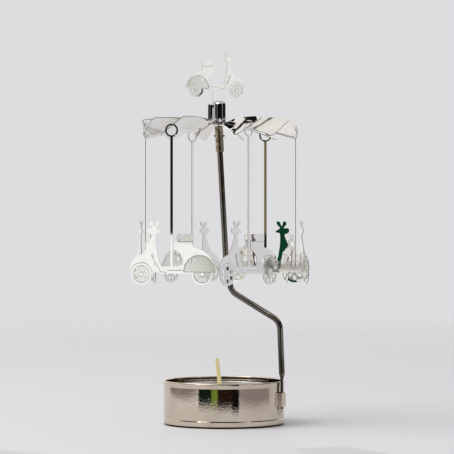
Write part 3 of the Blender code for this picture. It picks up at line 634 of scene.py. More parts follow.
def window_punch(size):
    """Cutters for the round cut-outs of both wheels and of the cowl."""
    spots = []
    for wheel_x, degrees in WHEEL_WINDOWS:
        for angle in map(math.radians, degrees):
            x = wheel_x + WINDOW_REACH * math.cos(angle)
            z = WHEEL_RADIUS + WINDOW_REACH * math.sin(angle)
            spots.append((x, z, WINDOW_RADIUS))
    bars = []
    for x, z, radius in (*spots, COWL_WINDOW):
        place = (x * size, 0, z * size)
        bars.append(round_bar(radius * size, 4 * PLATE, place, (math.pi / 2, 0, 0), 28))
    return joined(bars)


def shield_slit(size):
    """The slanting slit behind the front fender."""
    (x0, z0), (x1, z1) = shares_to_metres(((-0.212, 0.5), (-0.186, 0.29)), size)
    half = 0.25 * MM * size
    run = [(x0 - half, z0), (x0 + half, z0), (x1 + half, z1), (x1 - half, z1)]
    return plate_from("shield_slit", run, 4 * PLATE)


def eased_edges(thing, width, segments, angle, finish_index=-1):
    """Small rounded edges all over, in a finish of their own if asked."""
    change = thing.modifiers.new("edges", "BEVEL")
    change.material = finish_index
    change.width = width
    change.segments = segments
    change.limit_method = "ANGLE"
    change.angle_limit = math.radians(angle)
    change.use_clamp_overlap = True
    finish_modifiers(thing)


def motif_map(thing, size):
    """Keeps the motif's own millimetres as a UV map, before the plate is put in its place."""
    layer = thing.data.uv_layers.new(name="motif")
    for loop in thing.data.loops:
        point = thing.data.vertices[loop.vertex_index].co / size / MM / MOTIF_SPAN
        layer.data[loop.index].uv = (point.x + 0.5, point.z + 0.5)


def scooter_plate(name, size, over_floor, under_floor, face, edge):
    """A scooter cut from sheet: bright on both faces, darker where the etching cut it out."""
    plate = plate_from(name, scooter_run(size, over_floor, under_floor))
    for cutter in (window_punch(size), shield_slit(size)):
        boolean(plate, cutter, "DIFFERENCE")
    tidy_mesh(plate)
    two_finishes(plate, face, edge)
    for side in plate.data.polygons:
        side.material_index = int(abs(side.normal.y) < 0.5)
    eased_edges(plate, EDGE_BEVEL, 1, 40, 1)
    tidy_mesh(plate)
    motif_map(plate, size)
    return plate


PLATE_TURN = math.radians(115)


def pendant_place(joint):
    """A ring's centre, turned with +X towards the scooter's tail."""
    center = Vector(joint["pos_m"])
    angle = math.atan2(center.y - AXIS.y, center.x - AXIS.x)
    return Matrix.Translation(center) @ Matrix.Rotation(angle + PLATE_TURN, 4, "Z")


def hanging_scooters(face, edge):
    """One plate, modelled once and hung six times."""
    first = scooter_plate("scooter_plate_1", 1, hanger_run(), (), face, edge)
    put(first, Matrix.Translation((0, 0, RING_RADIUS - PENDANT_LENGTH)))
    plates = [first]
    for number in range(2, len(SWINGS) + 1):
        plates.append(placed(f"scooter_plate_{number}", first.data.copy()))
    for number, (plate, joint) in enumerate(zip(plates, SWINGS), 1):
        put(plate, pendant_place(joint))
        node = f"scooter_pendant_{number}"
        dressed(plate, face, f"pendant_{number}", node)


FIGURE_SIZE = 0.735
FIGURE_BOTTOM = 140.6 * MM
FIGURE_PLACE = (
    Matrix.Translation(AXIS)
    @ Matrix.Rotation(math.radians(205), 4, "Z")
    @ Matrix.Translation((0, -3.1 * MM, 0))
)
SHEET_HEIGHT = 129.4 * MM
SHEET = 0.25 * MM
FORK_SHIFT = -0.5 * MM
FORK_HALF_SPAN = 4.6 * MM
FORK_LEG = 2.1 * MM
FORK_TOP = 137.6 * MM
FORK_BRIDGE = 1.4 * MM
FORK_BEND = 0.65 * MM
FORK_STEM = (0.3 * MM, 1.7 * MM)
FORK_PLAY = 0.4 * MM


def fork_run():
    """Stem and fork under the top scooter's floor, feet in the hub's plate."""
    foot = SHEET_HEIGHT - SHEET / 2 - 0.7 * MM - FIGURE_BOTTOM
    top = FORK_TOP - FIGURE_BOTTOM
    under = top - FORK_BRIDGE
    floor_under = FLOOR_BOTTOM * FIGURE_SIZE
    left, right = FORK_SHIFT - FORK_HALF_SPAN, FORK_SHIFT + FORK_HALF_SPAN
    stem_left, stem_right = FORK_STEM
    return [
        (stem_right, floor_under),
        (stem_right, top),
        *arc((right - FORK_BEND, top - FORK_BEND), FORK_BEND, math.pi / 2, 0, 6),
        (right, foot),
        (right - FORK_LEG, foot),
        (right - FORK_LEG, under),
        (left + FORK_LEG, under),
        (left + FORK_LEG, foot),
        (left, foot),
        *arc((left + FORK_BEND, top - FORK_BEND), FORK_BEND, math.pi, math.pi / 2, 6),
        (stem_left, top),
        (stem_left, floor_under),
    ]


def top_scooter(face, edge):
    plate = scooter_plate("top_scooter", FIGURE_SIZE, (), fork_run(), face, edge)
    put(plate, FIGURE_PLACE @ Matrix.Translation((0, 0, FIGURE_BOTTOM)))
    dressed(plate, face, "rotor", "top_figure")


# Fan

BLADES = 12
FIRST_ANGLE = math.radians(-8)
BLADE_RADIUS = 33.2 * MM
BLADE_START = 6.3 * MM
BLADE_PITCH = math.radians(32)
BLADE_SPREAD = math.tan(math.radians(13))
BLADE_CORNER = 2.0 * MM
TIP_DROOP = 2.7 * MM
TWIST_LENGTH = 4.0 * MM
HUB_RADIUS = 6.6 * MM
HUB_HOLE = 2.35 * MM
EYE_HALF, EYE_RADIUS = 0.4 * MM, 0.37 * MM
RING_DROP = RING_INNER - 0.3 * MM - SHEET / 2 / math.cos(BLADE_PITCH)


def one_blade(face, edge):
    """A strip of sheet widened to a sector, twisted out of its plane and drooping to its tip."""
    start_clean()
    columns = 40
    length = BLADE_RADIUS - BLADE_START
    middle = (BLADE_START + length / 2, 0, 0)
    bpy.ops.mesh.primitive_grid_add(x_subdivisions=columns, y_subdivisions=8, size=1, location=middle)
    blade = added("blade", (length, 2 * MM, 1))
    for column in range(columns + 1):
        shape_column(blade, BLADE_START + length * column / columns, length)
    start_clean()
    skin = blade.modifiers.new("sheet", "SOLIDIFY")
    skin.thickness = SHEET
    skin.offset = 0
    skin.material_offset_rim = 1
    two_finishes(blade, face, edge)
    finish_modifiers(blade)
    return blade


def shape_column(blade, reach, length):
    """Widens, turns and lowers the one row of corners at this reach."""
    pick(blade, lambda place: abs(place.x - reach) < length / 200)
    half = reach * BLADE_SPREAD
    near_tip = max(reach - (BLADE_RADIUS - BLADE_CORNER), 0) / BLADE_CORNER
    half -= BLADE_CORNER * (1 - math.sqrt(max(1 - near_tip**2, 0)))
    twist = min((reach - BLADE_START) / TWIST_LENGTH, 1)
    pitch = BLADE_PITCH * (0.5 - 0.5 * math.cos(math.pi * twist))
    span = (reach - BLADE_START) / length
    bpy.ops.transform.resize(value=(1, half / MM, 1), center_override=(reach, 0, 0))
    bpy.ops.transform.rotate(value=-pitch, orient_axis="X", center_override=(reach, 0, 0))
    bpy.ops.transform.translate(value=(0, 0, -TIP_DROOP * span**2))


def eye_shift():
    """Where a ring goes through the sheet, from its centre along its plate."""
    slope = math.atan(math.tan(BLADE_PITCH) * math.cos(PLATE_TURN - math.pi / 2))
    height = RING_DROP * math.cos(slope)
    return math.sqrt(RING_MIDDLE**2 - height**2) * math.cos(slope) - height * math.sin(slope)


def eye_punch(joint):
    """A slotted cutter in line with the ring's plate."""
    quarter, depth = math.pi / 2, 4 * MM
    run = arc((EYE_HALF, 0), EYE_RADIUS, -quarter, quarter, 12)
    run += arc((-EYE_HALF, 0), EYE_RADIUS, quarter, 3 * quarter, 12)
    cutter = traced("eye", [(x, y, -depth / 2) for x, y in run], (0, 0, depth))
    put(cutter, pendant_place(joint) @ Matrix.Translation((eye_shift(), 0, RING_DROP)))
    return cutter


def slot_punch(side):
    """A cutter for one of the fork's feet."""
    place_x = FORK_SHIFT + side * (FORK_HALF_SPAN - FORK_LEG / 2)
    size = (FORK_LEG + FORK_PLAY, PLATE + FORK_PLAY, 2 * MM)
    cutter = block(size, (place_x, 0, SHEET_HEIGHT))
    put(cutter, FIGURE_PLACE)
    return cutter


def fan(face, edge):
    """Hub plate with twelve blades in one sheet, with the eyes and the fork's slots."""
    under, over = SHEET_HEIGHT - SHEET / 2, SHEET_HEIGHT + SHEET / 2
    rings = [(HUB_HOLE, under), (HUB_RADIUS, under), (HUB_RADIUS, over), (HUB_HOLE, over)]
    sheet = lathe("fan_sheet", [*rings, rings[0]], 96)
    two_finishes(sheet, face, edge)
    first = one_blade(face, edge)
    blades = [placed(f"blade_{index}", first.data.copy()) for index in range(1, BLADES)]
    for index, blade in enumerate([*blades, first], 1):
        turn = Matrix.Rotation(FIRST_ANGLE + index * math.tau / BLADES, 4, "Z")
        put(blade, Matrix.Translation((0, 0, SHEET_HEIGHT)) @ turn)
        boolean(sheet, blade, "UNION")
    put(sheet, Matrix.Translation(AXIS))
    cutters = [eye_punch(joint) for joint in SWINGS] + [slot_punch(-1), slot_punch(1)]
    boolean(sheet, joined(cutters), "DIFFERENCE")
    tidy_mesh(sheet, 50)
    dressed(sheet, face, "rotor", "fan_rotor")


# Stand

CUP_RADIUS = 26.0 * MM
CUP_SHEET = 0.45 * MM
CUP_INNER = CUP_RADIUS - CUP_SHEET
TONGUE_CENTER = CUP_RADIUS + 0.95 * MM
STRAP_INNER = TONGUE_CENTER + 0.8 * MM
STRAP_ANGLE = math.radians(-24)
STRAP_HALF = math.radians(7.5)
STRAP_FLAT = 0.45
STRAP_LOW, STRAP_HIGH = 8.3 * MM, 14.3 * MM
CUP_CORNER = 1.4 * MM
LIP_OUT, LIP_ROLL, LIP_STEP = 0.15 * MM, 0.45 * MM, 16.9 * MM
GROOVE_HEIGHT, GROOVE_DEPTH = 3.1 * MM, 0.16 * MM
# Heights in millimetres of the wall's rings under and over the groove
WALL_UNDER = (1.5, 1.8, 2.4, 2.6, 2.7)
WALL_OVER = (3.5, 3.6, 3.8, 4.2, 16.0, 16.4, 16.6, 16.7)
# The pressed stop's section: radius and height in millimetres
LUG_SECTION = ((0, 3.9), (0.475, 3.9), (1.75, 6.8), (1.9, 7.0), (1.8, 7.1), (0, 7.1))
LUG_REACH = TONGUE_CENTER - 1.4 * MM
TONGUE_PLACE = Vector(
    (TONGUE_CENTER * math.cos(STRAP_ANGLE), TONGUE_CENTER * math.sin(STRAP_ANGLE), 0)
)
TO_TONGUE = (TONGUE_PLACE - AXIS).normalized()
SLEEVE_LEAN = math.radians(2.8)
# The wire's corners in millimetres, away from the axis towards the tongue and up
ROD_CORNERS = ((27.7, 44.5), (5.2, 57.2), (2.8, 72.0), (0.1, 117.1))
ROD_BENDS = (6 * MM, 6 * MM, 40 * MM, 40 * MM)
ROD_RADIUS = 1.28 * MM
ROD_FOOT = 22.8 * MM
ROD_IN_SLEEVE = 4.6 * MM
TONGUE_HALVES = (0.5 * MM, 1.05 * MM)
# Heights in millimetres where the wire is pressed flat, and how far
PRESSED = ((7.4, 0.96), (7.6, 1), (14, 1), (19.6, 1), (20.4, 0.85), (21.2, 0.45), (22.0, 0.12))
SLEEVE_SHIFT, SLEEVE_FOOT = metres(ROD_CORNERS)[-1]
SLEEVE_START = AXIS + TO_TONGUE * SLEEVE_SHIFT + Vector((0, 0, SLEEVE_FOOT))
# The sleeve's section: radius and height in millimetres
SLEEVE_SECTION = ((1.48, 0), (1.68, 0), (1.78, 0.1), (1.78, 10.9), (1.68, 11), (1.48, 11), (1.48, 0))
SLEEVE_WAY = Vector((0, 0, math.cos(SLEEVE_LEAN))) - TO_TONGUE * math.sin(SLEEVE_LEAN)
SLEEVE_TURN = Matrix.Translation(SLEEVE_START) @ Matrix.Rotation(
    -SLEEVE_LEAN, 4, Vector((0, 0, 1)).cross(TO_TONGUE)
)
PIN_SPOT = SLEEVE_START + SLEEVE_WAY * 6.8 * MM
PIN_HALF, PIN_RADIUS, PIN_EASE = 2.35 * MM, 0.5 * MM, 0.3 * MM
CAP_RADIUS, CAP_WALL, CAP_CROWN = 2.7 * MM, 0.35 * MM, 1.9 * MM
# The cap's turned foot in millimetres: how far in from its radius and up from its foot
CAP_STEPS = ((0, 1.2), (0, 0.7), (0.06, 0.6), (0, 0.5), (0, 0.1), (0.1, 0))


def cup_rings():
    """The cup's section: a groove near the foot, a step and a rolled lip."""
    lip, top, roll = CUP_RADIUS + LIP_OUT, CUP_TOP, LIP_ROLL
    corner = (CUP_RADIUS - CUP_CORNER, CUP_CORNER)
    rings = [(0, 0), *arc(corner, CUP_CORNER, -math.pi / 2, 0, 12)]
    rings += [(CUP_RADIUS, height * MM) for height in WALL_UNDER]
    for i in range(1, 6):
        depth = GROOVE_DEPTH * math.sin(math.pi * i / 6)
        rings.append((CUP_RADIUS - depth, GROOVE_HEIGHT + (i - 3) / 10 * MM))
    rings += [(CUP_RADIUS, height * MM) for height in WALL_OVER]
    return rings + [
        (CUP_RADIUS + 0.03 * MM, LIP_STEP),
        (lip - 0.06 * MM, top - roll - 0.7 * MM),
        (lip, top - roll - 0.1 * MM),
        *arc((lip - roll, top - roll), roll, 0, math.pi, 14),
        (lip - 2 * roll, top - 1.2 * roll),
        (CUP_INNER, top - 2.6 * roll),
        (CUP_INNER, top - 3.2 * roll),
        (CUP_INNER, 1.8 * MM),
        (CUP_INNER, 1.5 * MM),
        *arc(corner, CUP_CORNER - CUP_SHEET, 0, -math.pi / 2, 8),
        (0, CUP_SHEET),
    ]


def base_cup(finish):
    """The holder's cup with its window, the lanced strap over that and the pressed stop below."""
    cup = lathe("tin_cup", cup_rings(), 160)
    width = 2 * STRAP_INNER * math.sin(STRAP_HALF * (1 + STRAP_FLAT) / 2)
    size = (2.5 * MM, width, STRAP_HIGH - STRAP_LOW + 0.4 * MM)
    window = block(size, (CUP_RADIUS, 0, (STRAP_LOW + STRAP_HIGH) / 2))
    turn = Matrix.Rotation(STRAP_ANGLE, 4, "Z")
    for piece, change in ((window, "DIFFERENCE"), (strap_strip(), "UNION"), (pressed_lug(), "UNION")):
        put(piece, turn)
        boolean(cup, piece, change)
    tidy_mesh(cup)
    dressed(cup, finish, "base", "base_cup")


def strap_strip():
    """The strip standing out from the wall, flat over the tongue and sloping to both sides."""
    outer, inner = [], []
    base = CUP_INNER + 0.05 * MM
    lift = STRAP_INNER - base
    for i in range(49):
        share = i / 24 - 1
        slope = max(abs(share) - STRAP_FLAT, 0) / (1 - STRAP_FLAT)
        rise = lift * (0.5 + 0.5 * math.cos(math.pi * slope))
        angle = share * STRAP_HALF
        for run, radius in ((outer, CUP_RADIUS - 0.05 * MM + rise), (inner, base + rise)):
            run.append((radius * math.cos(angle), radius * math.sin(angle), STRAP_LOW))
    strip = traced("strap", outer + inner[::-1], (0, 0, STRAP_HIGH - STRAP_LOW))
    eased_edges(strip, 0.08 * MM, 2, 50)
    return strip


def pressed_lug():
    """The pressed half cone that the tongue stands on."""
    section = metres(LUG_SECTION)
    lug = lathe("lug", section, 32)
    put(lug, Matrix.Translation((LUG_REACH, 0, 0)))
    inside = round_bar(CUP_RADIUS - 0.2 * MM, 20 * MM, (0, 0, section[-1][1]), corners=160)
    boolean(lug, inside, "DIFFERENCE")
    return lug


def bent_path(corners, radii, steps):
    """The corners as one run, each inner one an arc of its radius, all in one upright plane."""
    path = [corners[0]]
    for before, corner, after, radius in zip(corners, corners[1:], corners[2:], radii):
        a, b = (before - corner).normalized(), (after - corner).normalized()
        half = a.angle(b) / 2
        reach = radius / math.tan(half)
        center = corner + (a + b).normalized() * radius / math.sin(half)
        first, last = corner + a * reach - center, corner + b * reach - center
        whole = first.angle(last)
        for i in range(steps + 1):
            share = i / steps
            spread = math.sin((1 - share) * whole) * first + math.sin(share * whole) * last
            path.append(center + spread / math.sin(whole))
    path.append(corners[-1])
    return path


def rod_path():
    """The wire's middle from its flat foot up into the sleeve, and how far it is pressed there."""
    out = (TONGUE_PLACE - AXIS).length
    corners = [Vector((out, 0, ROD_FOOT)), *[Vector((x, 0, z)) for x, z in metres(ROD_CORNERS)]]
    lean = Vector((-math.sin(SLEEVE_LEAN), 0, math.cos(SLEEVE_LEAN)))
    corners.append(corners[-1] + lean * ROD_IN_SLEEVE)
    path = bent_path(corners, ROD_BENDS, 20)
    flat = [Vector((out, 0, z * MM)) for z, share in PRESSED]
    return flat + path, [share for z, share in PRESSED] + [0] * len(path)


def stand_rod(finish):
    """Round wire extruded ring by ring along its bends, with its lower end pressed flat."""
    path, press = rod_path()
    start_clean()
    bpy.ops.mesh.primitive_circle_add(vertices=32, radius=ROD_RADIUS, location=path[0])
    rod = added("bent_rod")
    edit_all()
    thin, wide = squeeze(press[0])
    bpy.ops.transform.resize(value=(thin, wide, 1), center_override=path[0])
    bpy.ops.mesh.edge_face_add()
    lean = 0.0
    for i in range(1, len(path)):
        before, here = path[i - 1], path[i]
        extrude(here - before)
        ahead = path[min(i + 1, len(path) - 1)] - before
        now = math.atan2(ahead.x, ahead.z)
        bpy.ops.transform.rotate(value=lean - now, orient_axis="Y", center_override=here)
        lean = now
        thin_now, wide_now = squeeze(press[i])
        size = (thin_now / thin, wide_now / wide, 1)
        bpy.ops.transform.resize(value=size, center_override=here)
        thin, wide = thin_now, wide_now
    tidy_mesh(rod)
    heading = math.atan2(TO_TONGUE.y, TO_TONGUE.x)
    put(rod, Matrix.Translation(AXIS) @ Matrix.Rotation(heading, 4, "Z"))
    dressed(rod, finish, "stand", "stand_rod")


def squeeze(share):
    """How far the wire's round is pressed: shares of its thickness and width."""
    return tuple(1 + share * (half / ROD_RADIUS - 1) for half in TONGUE_HALVES)


def pivot_sleeve(finish):
    """Tube on the rod's top, drilled for its cross pin."""
    sleeve = lathe("pivot_tube", metres(SLEEVE_SECTION), 64)
    put(sleeve, SLEEVE_TURN)
    drill = round_bar(0.7 * MM, 6 * MM, PIN_SPOT, (0, math.pi / 2, 0))
    boolean(sleeve, drill, "DIFFERENCE")
    tidy_mesh(sleeve)
    dressed(sleeve, finish, "stand", "pivot_sleeve")


def sleeve_pin(finish):
    """Cross pin with two rounded ends."""
    radius, height = PIN_RADIUS - PIN_EASE, PIN_HALF - PIN_EASE
    rings = [(0, -PIN_HALF), *arc((radius, -height), PIN_EASE, -math.pi / 2, 0, 6)]
    rings += [*arc((radius, height), PIN_EASE, 0, math.pi / 2, 6), (0, PIN_HALF)]
    pin = lathe("cross_pin", rings, 32)
    put(pin, Matrix.Translation(PIN_SPOT) @ Matrix.Rotation(math.pi / 2, 4, "Y"))
    dressed(pin, finish, "stand", "sleeve_pin")


def hub_cap(finish):
    """Domed cap over the needle, with a small turned foot."""
    center = (CAP_RADIUS - CAP_CROWN, CAP_TOP - CAP_CROWN)
    rings = [(0, CAP_TOP), *arc(center, CAP_CROWN, math.pi / 2, 0, 20)]
    rings += [(CAP_RADIUS - inward, CAP_FOOT + up) for inward, up in metres(CAP_STEPS)]
    rings += [(CAP_RADIUS - CAP_WALL, CAP_FOOT)]
    rings += [*arc(center, CAP_CROWN - CAP_WALL, 0, math.pi / 2, 12), (0, CAP_TOP - CAP_WALL)]
    cap = lathe("hub_dome", rings, 96)
    put(cap, Matrix.Translation(AXIS))
    dressed(cap, finish, "rotor", "hub_cap")


# Tealight

TEA_FLOOR = 0.75 * MM
TEA_RADIUS = 19.25 * MM
TEA_SHEET = 0.3 * MM
TEA_ROLL, TEA_CORNER = 0.35 * MM, 1 * MM
# The foil's bottom from below and from above: radius and height over its foot in millimetres
TEA_UNDER = ((0, 0.25), (15.6, 0.25), (16.2, 0))
TEA_OVER = ((16.3, 0.3), (15.6, 0.5), (0, 0.5))
# The shallow ring in its wall: how far in and how far under the rim in millimetres
TEA_RING = ((0, 2.2), (0.12, 1.9), (0, 1.6), (0, 0.35))
# The wax's section from the axis outwards and back: radius and height in millimetres
WAX_SECTION = (
    (0, 5.2), (2.2, 5.2), (2.2, 2.0), (6.3, 2.0), (6.3, 1.35), (17.65, 1.35), (18.65, 2.35),
    (18.65, 15.1), (18.5, 15.2), (17.75, 14.98), (16.25, 14.9), (9, 14.84), (4, 14.7),
    (2.4, 14.75), (1.6, 15.0), (0, 15.05),
)
WICK_LEAN = math.radians(6.1)
WICK_LOW, WICK_TOP = 2.0 * MM, 28.4 * MM
WICK_HALF = 0.825 * MM
WICK_THICKNESS = 0.66 * MM
WICK_ROWS = 44
SWELL = (1.12, 1.18, 1)


def tealight_cup(finish):
    """Thin pressed cup: rounded foot, one shallow ring in its wall and a rolled rim."""
    top, roll, inner = TEA_TOP, TEA_ROLL, TEA_RADIUS - TEA_SHEET
    corner = (TEA_RADIUS - TEA_CORNER, TEA_FLOOR + TEA_CORNER)
    rings = [(radius, TEA_FLOOR + rise) for radius, rise in metres(TEA_UNDER)]
    rings += arc(corner, TEA_CORNER, -math.pi / 2, 0, 8)
    rings += [(TEA_RADIUS - inward, top - down) for inward, down in metres(TEA_RING)]
    rings += arc((TEA_RADIUS - roll, top - roll), roll, 0, math.pi, 12)
    rings += [(TEA_RADIUS - 2 * roll, top - 1.6 * roll), (inner, top - 2.4 * roll)]
    rings += arc(corner, TEA_CORNER - TEA_SHEET, 0, -math.pi / 2, 6)
    rings += [(radius, TEA_FLOOR + rise) for radius, rise in metres(TEA_OVER)]
    cup = lathe("foil_cup", rings, 128)
    dressed(cup, finish, "tealight", "tealight_cup")


def wick_run(grow, low, high):
    """A leaning strip's outline, wider than the wick by grow on both sides."""
    half = WICK_HALF + grow
    left, right = (-height * math.tan(WICK_LEAN) for height in (low, high))
    return [(left - half, low), (left + half, low), (right + half, high), (right - half, high)]


def tealight_wax(finish):
    """Cast wax: a faint fall towards the wick, a meniscus at the wall and a hole for the wick."""
    wax = lathe("cast_wax", metres(WAX_SECTION), 128)
    slot = plate_from("wick_slot", wick_run(0.1 * MM, 1.6 * MM, 30 * MM), 1.0 * MM)
    boolean(wax, slot, "DIFFERENCE")
    tidy_mesh(wax)
    dressed(wax, finish, "tealight", "tealight_wax")


def wick(finish):
    """Flat braid: a strip cut into short lengths whose edges swell in turn."""
    strip = plate_from("braided_wick", wick_run(-0.02 * MM, WICK_LOW, WICK_TOP), WICK_THICKNESS)
    only(strip)
    bpy.ops.object.mode_set(mode="EDIT")
    for row in range(1, WICK_ROWS):
        bpy.ops.mesh.select_all(action="SELECT")
        bpy.ops.mesh.bisect(plane_co=(0, 0, row_height(row)), plane_no=(0, 0, 1))
    swell_rows(strip)
    eased_edges(strip, 0.2 * MM, 3, 50)
    tidy_mesh(strip, 60)
    dressed(strip, finish, "tealight", "wick")


def row_height(row):
    return WICK_LOW + (WICK_TOP - WICK_LOW) * row / WICK_ROWS


def swell_rows(strip):
    """Every second row of corners stands a little proud."""
    near = (WICK_TOP - WICK_LOW) / WICK_ROWS / 4
    for row in range(2, WICK_ROWS - 1, 2):
        height = row_height(row)
        middle = (-height * math.tan(WICK_LEAN), 0, height)
        pick(strip, lambda place: abs(place.z - height) < near)
        bpy.ops.transform.resize(value=SWELL, center_override=middle)


# Studio


DARK = (0.009, 0.007, 0.007)
PALE = (0.97, 0.97, 0.96)
# Upright cards in front of the object, painted reflections that glow only in gloss: name, left, right,
# low, high, y, colour
FRONT_CARDS = (
    ("painted_dark_right", -0.21, 0.62, 0.0, 1.2, -1.02, DARK),
    ("painted_dark_left", -0.62, -0.21, -0.2, 1.2, -1.03, DARK),
    ("pale_far_left", -1.4, -0.536, -0.2, 0.106, -1.0, PALE),
    ("pale_left", -0.536, -0.487, -0.2, 0.080, -1.0, PALE),
    ("seat_grey", -0.521, -0.503, 0.0726, 0.085, -0.999, (0.66, 0.65, 0.62)),
    ("cream", -0.487, -0.465, -0.2, 0.060, -1.0, (0.75, 0.72, 0.60)),
    ("gold", -0.4727, -0.4700, 0.060, 0.085, -1.0, (0.70, 0.52, 0.22)),
    ("olive", -0.465, -0.452, 0.080, 0.5, -1.0, (0.17, 0.15, 0.07)),
    ("deep_green", -0.452, -0.424, 0.022, 0.12, -1.0, (0.004, 0.045, 0.018)),
    ("dark_front_right", 0.62, 1.13, 0.187, 1.0, -1.03, DARK),
    ("dark_front_left", -1.2, -0.62, 0.187, 1.0, -1.03, DARK),
    ("dark_corner", 1.148, 1.166, 0.226, 0.243, -1.0, DARK),
)
# Upright cards at the sides, painted reflections that glow only in gloss: name, size, place, colour
SIDE_CARDS = (
    ("painted_grey_side", (1.2, 1.0), (1.1, 0.3, 0.35), (0.66, 0.65, 0.68)),
    ("painted_dark_side_right", (1.6, 0.8), (1.09, 0.0, 0.59), DARK),
    ("painted_dark_side_left", (0.9, 0.8), (-1.09, -0.35, 0.59), DARK),
)
# Painted reflections of dark bars overhead, glowing only in gloss: from y to y
PAINTED_DARK_BARS = ((0.26, 0.285), (0.405, 0.43), (0.68, 0.70))
# Painted reflections in the cup's wall, as glowing patches at floor level seen only in gloss: name,
# from and to in degrees round the wall, near end, colour
PAINTED_WALL_PATCHES = (
    ("end_black", 7.4, 14.3, 0.085, DARK),
    ("end_brown", -6.1, 7.4, 0.105, (0.022, 0.011, 0.009)),
    ("end_green", -11.9, -6.1, 0.11, (0.19, 0.30, 0.045)),
    ("end_dark_green", -24.6, -11.9, 0.12, (0.005, 0.014, 0.010)),
    ("end_grey", 14.3, 48, 0.14, (0.33, 0.31, 0.33)),
    ("end_beige", -62, -24.6, 0.2, (0.29, 0.27, 0.275)),
)
PATCH_FAR = 0.7
PATCH_HEIGHT = 0.4 * MM
# Painted contact shadow: a dark ring on the floor under the cup, seen only where its rounded foot
# mirrors the floor
PAINTED_SHADOW_RING = ((23, 0), (26.3, 0), (26.3, 0.05), (23, 0.05), (23, 0))


def reflected_card(name, size, place, turn, color):
    """A plain glowing card that is seen only in polished metal: a painted reflection."""
    start_clean()
    bpy.ops.mesh.primitive_plane_add(size=1, location=place, rotation=turn)
    only_in_gloss(added(name, (*size, 1)), color)


def painted_wall_patch(name, start, end, near, color):
    """A painted reflection for the cup's wall: a glowing patch at floor level that only metal mirrors,
    between two rays that leave the cup's wall.
    """
    start_clean()
    bpy.ops.mesh.primitive_plane_add(size=1)
    patch = added(name)
    corners = ((start, near), (end, near), (start, PATCH_FAR), (end, PATCH_FAR))
    for vert, (degrees, reach) in zip(patch.data.vertices, corners):
        bend = math.radians(degrees)
        ray = Vector((math.sin(2 * bend), -math.cos(2 * bend), 0)) * reach
        wall = Vector((math.sin(bend), -math.cos(bend), 0)) * CUP_RADIUS
        vert.co = wall + ray + Vector((0, 0, PATCH_HEIGHT))
    only_in_gloss(patch, color)


def only_in_gloss(thing, color):
    """A plain glowing colour that only gloss sees; it paints reflections and, under the cup's foot, a
    contact shadow.
    """
    material = bpy.data.materials.new(thing.name)
    material.use_nodes = True
    tree = material.node_tree
    tree.nodes.clear()
    light = tree.nodes.new("ShaderNodeEmission")
    light.inputs["Color"].default_value = (*color, 1.0)
    out = tree.nodes.new("ShaderNodeOutputMaterial")
    tree.links.new(light.outputs[0], out.inputs["Surface"])
    thing.data.materials.append(material)
    thing.visible_camera = thing.visible_diffuse = False
    thing.visible_shadow = thing.visible_transmission = False


def painted_reflections():
    """Painted reflections for the bright metal: glowing cards in front and at the sides, dark bars
    overhead, painted patches in the cup's wall and a painted contact shadow under its foot.
    """
    facing, sideways = (math.pi / 2, 0, 0), (math.pi / 2, 0, math.pi / 2)
    for name, left, right, low, high, y, color in FRONT_CARDS:
        place = ((left + right) / 2, y, (low + high) / 2)
        reflected_card(name, (right - left, high - low), place, facing, color)
    for name, size, place, color in SIDE_CARDS:
        reflected_card(name, size, place, sideways, color)
    for index, (start, end) in enumerate(PAINTED_DARK_BARS):
        place = (0.15, (start + end) / 2, 1.0)
        reflected_card(f"painted_dark_bar_{index}", (0.9, end - start), place, (0, 0, 0.2), DARK)
    # Painted contact shadow under the cup's foot, seen only in gloss
    only_in_gloss(lathe("painted_contact_shadow", metres(PAINTED_SHADOW_RING), 96), (0.01, 0.009, 0.008))
    for patch in PAINTED_WALL_PATCHES:
        painted_wall_patch(*patch)


def floor():
    """Pale floor that fades into the backdrop's colour far from the object."""
    start_clean()
    bpy.ops.mesh.primitive_circle_add(vertices=96, radius=1.6, fill_type="NGON")
    ground = added("floor")
    finish = Finish("pale_floor")
    finish.set("Base Color", (0.70, 0.695, 0.71, 1))
    finish.set("Roughness", 0.6)
    finish.set("Specular IOR Level", 0.2)
    where = finish.add("TexCoord", output="Object")
    away = finish.add("VectorMath", {"operation": "LENGTH"}, [where], "Value")
    finish.set("Alpha", 1 - away.ramp(0.15, 1.3))
    ground.data.materials.append(finish.material)


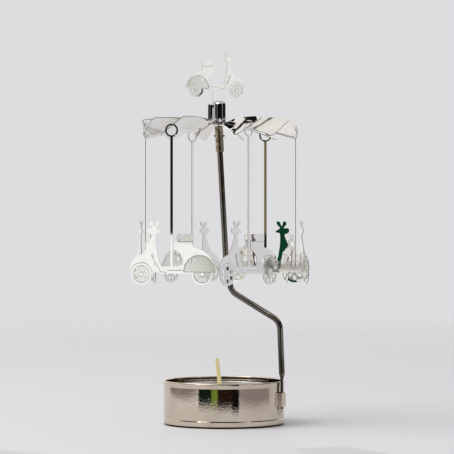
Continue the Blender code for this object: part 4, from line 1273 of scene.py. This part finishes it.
def sky():
    """Pale backdrop for the camera, a brighter painted reflection for mirrors and softer light for the
    rest.
    """
    world = bpy.data.worlds.new("backdrop")
    bpy.context.scene.world = world
    world.use_nodes = True
    tree = world.node_tree
    tree.nodes.clear()

    def backdrop(color, strength=1.0):
        node = tree.nodes.new("ShaderNodeBackground")
        node.inputs["Color"].default_value = (*color, 1)
        node.inputs["Strength"].default_value = strength
        return node.outputs[0]

    path = tree.nodes.new("ShaderNodeLightPath")
    shown = backdrop((0.80, 0.80, 0.81), 0.72)
    # Mirrors see a brighter backdrop than the light it gives: a painted reflection
    painted_mirror_backdrop, seen = backdrop((0.86, 0.85, 0.835)), backdrop((0.722, 0.722, 0.737))
    for ray, instead in (("Is Glossy Ray", painted_mirror_backdrop), ("Is Camera Ray", seen)):
        mix = tree.nodes.new("ShaderNodeMixShader")
        for socket, source in enumerate((path.outputs[ray], shown, instead)):
            tree.links.new(source, mix.inputs[socket])
        shown = mix.outputs[0]
    out = tree.nodes.new("ShaderNodeOutputWorld")
    tree.links.new(shown, out.inputs["Surface"])


def top_light():
    """One large soft light, high on the left."""
    light = bpy.data.lights.new("top_light", "AREA")
    light.shape = "RECTANGLE"
    light.size = light.size_y = 1.8
    light.energy = 29
    lamp = placed("top_light", light)
    lamp.location = (-1.2, -0.5, 1.4)
    aim = Vector((0, 0, 0.03)) - lamp.location
    lamp.rotation_euler = aim.to_track_quat("-Z", "Y").to_euler()


def camera():
    lens = bpy.data.cameras.new("camera")
    lens.lens = 177
    lens.sensor_width = 36
    lens.shift_y = 0.0088
    lens.clip_start, lens.clip_end = 0.01, 20
    eye = placed("camera", lens)
    eye.location = (0.00129, -0.96, 0.083)
    eye.rotation_euler = (math.pi / 2, 0, 0)
    bpy.context.scene.camera = eye


def carried_over(foil, steel):
    """Finishes for the hidden pieces that stay as the frame gives them."""
    for node, finish in (("wick_holder", foil), ("pivot_needle", steel), ("bearing_cup", steel)):
        for slot in frame["nodes"][node].material_slots:
            slot.material = finish


def build():
    chrome, steel = polished_chrome(), hardened_steel()
    foil, nickel = rolled_aluminium(), etched_nickel()
    carried_over(foil, steel)
    base_cup(tin_plate())
    tealight_cup(foil)
    tealight_wax(candle_wax())
    wick(waxed_braid())
    stand_rod(drawn_wire())
    pivot_sleeve(brassy_tube())
    sleeve_pin(steel)
    hub_cap(chrome)
    eyelet = placed("rolled_eyelet", frame["nodes"]["hub_eyelet"].data.copy())
    tidy_mesh(eyelet)
    dressed(eyelet, chrome, "rotor", "hub_eyelet")
    fan(mirror_sheet(), cut_edge("sheared_edge", (0.012, 0.010, 0.008), (0.035, 0.03, 0.025)))
    etched = cut_edge("etched_edge", (0.16, 0.15, 0.13), (0.30, 0.28, 0.25))
    top_scooter(nickel, etched)
    hanging_scooters(nickel, etched)
    floor()
    painted_reflections()
    sky()
    top_light()
    camera()
    bpy.context.scene.view_settings.view_transform = "Standard"


build()
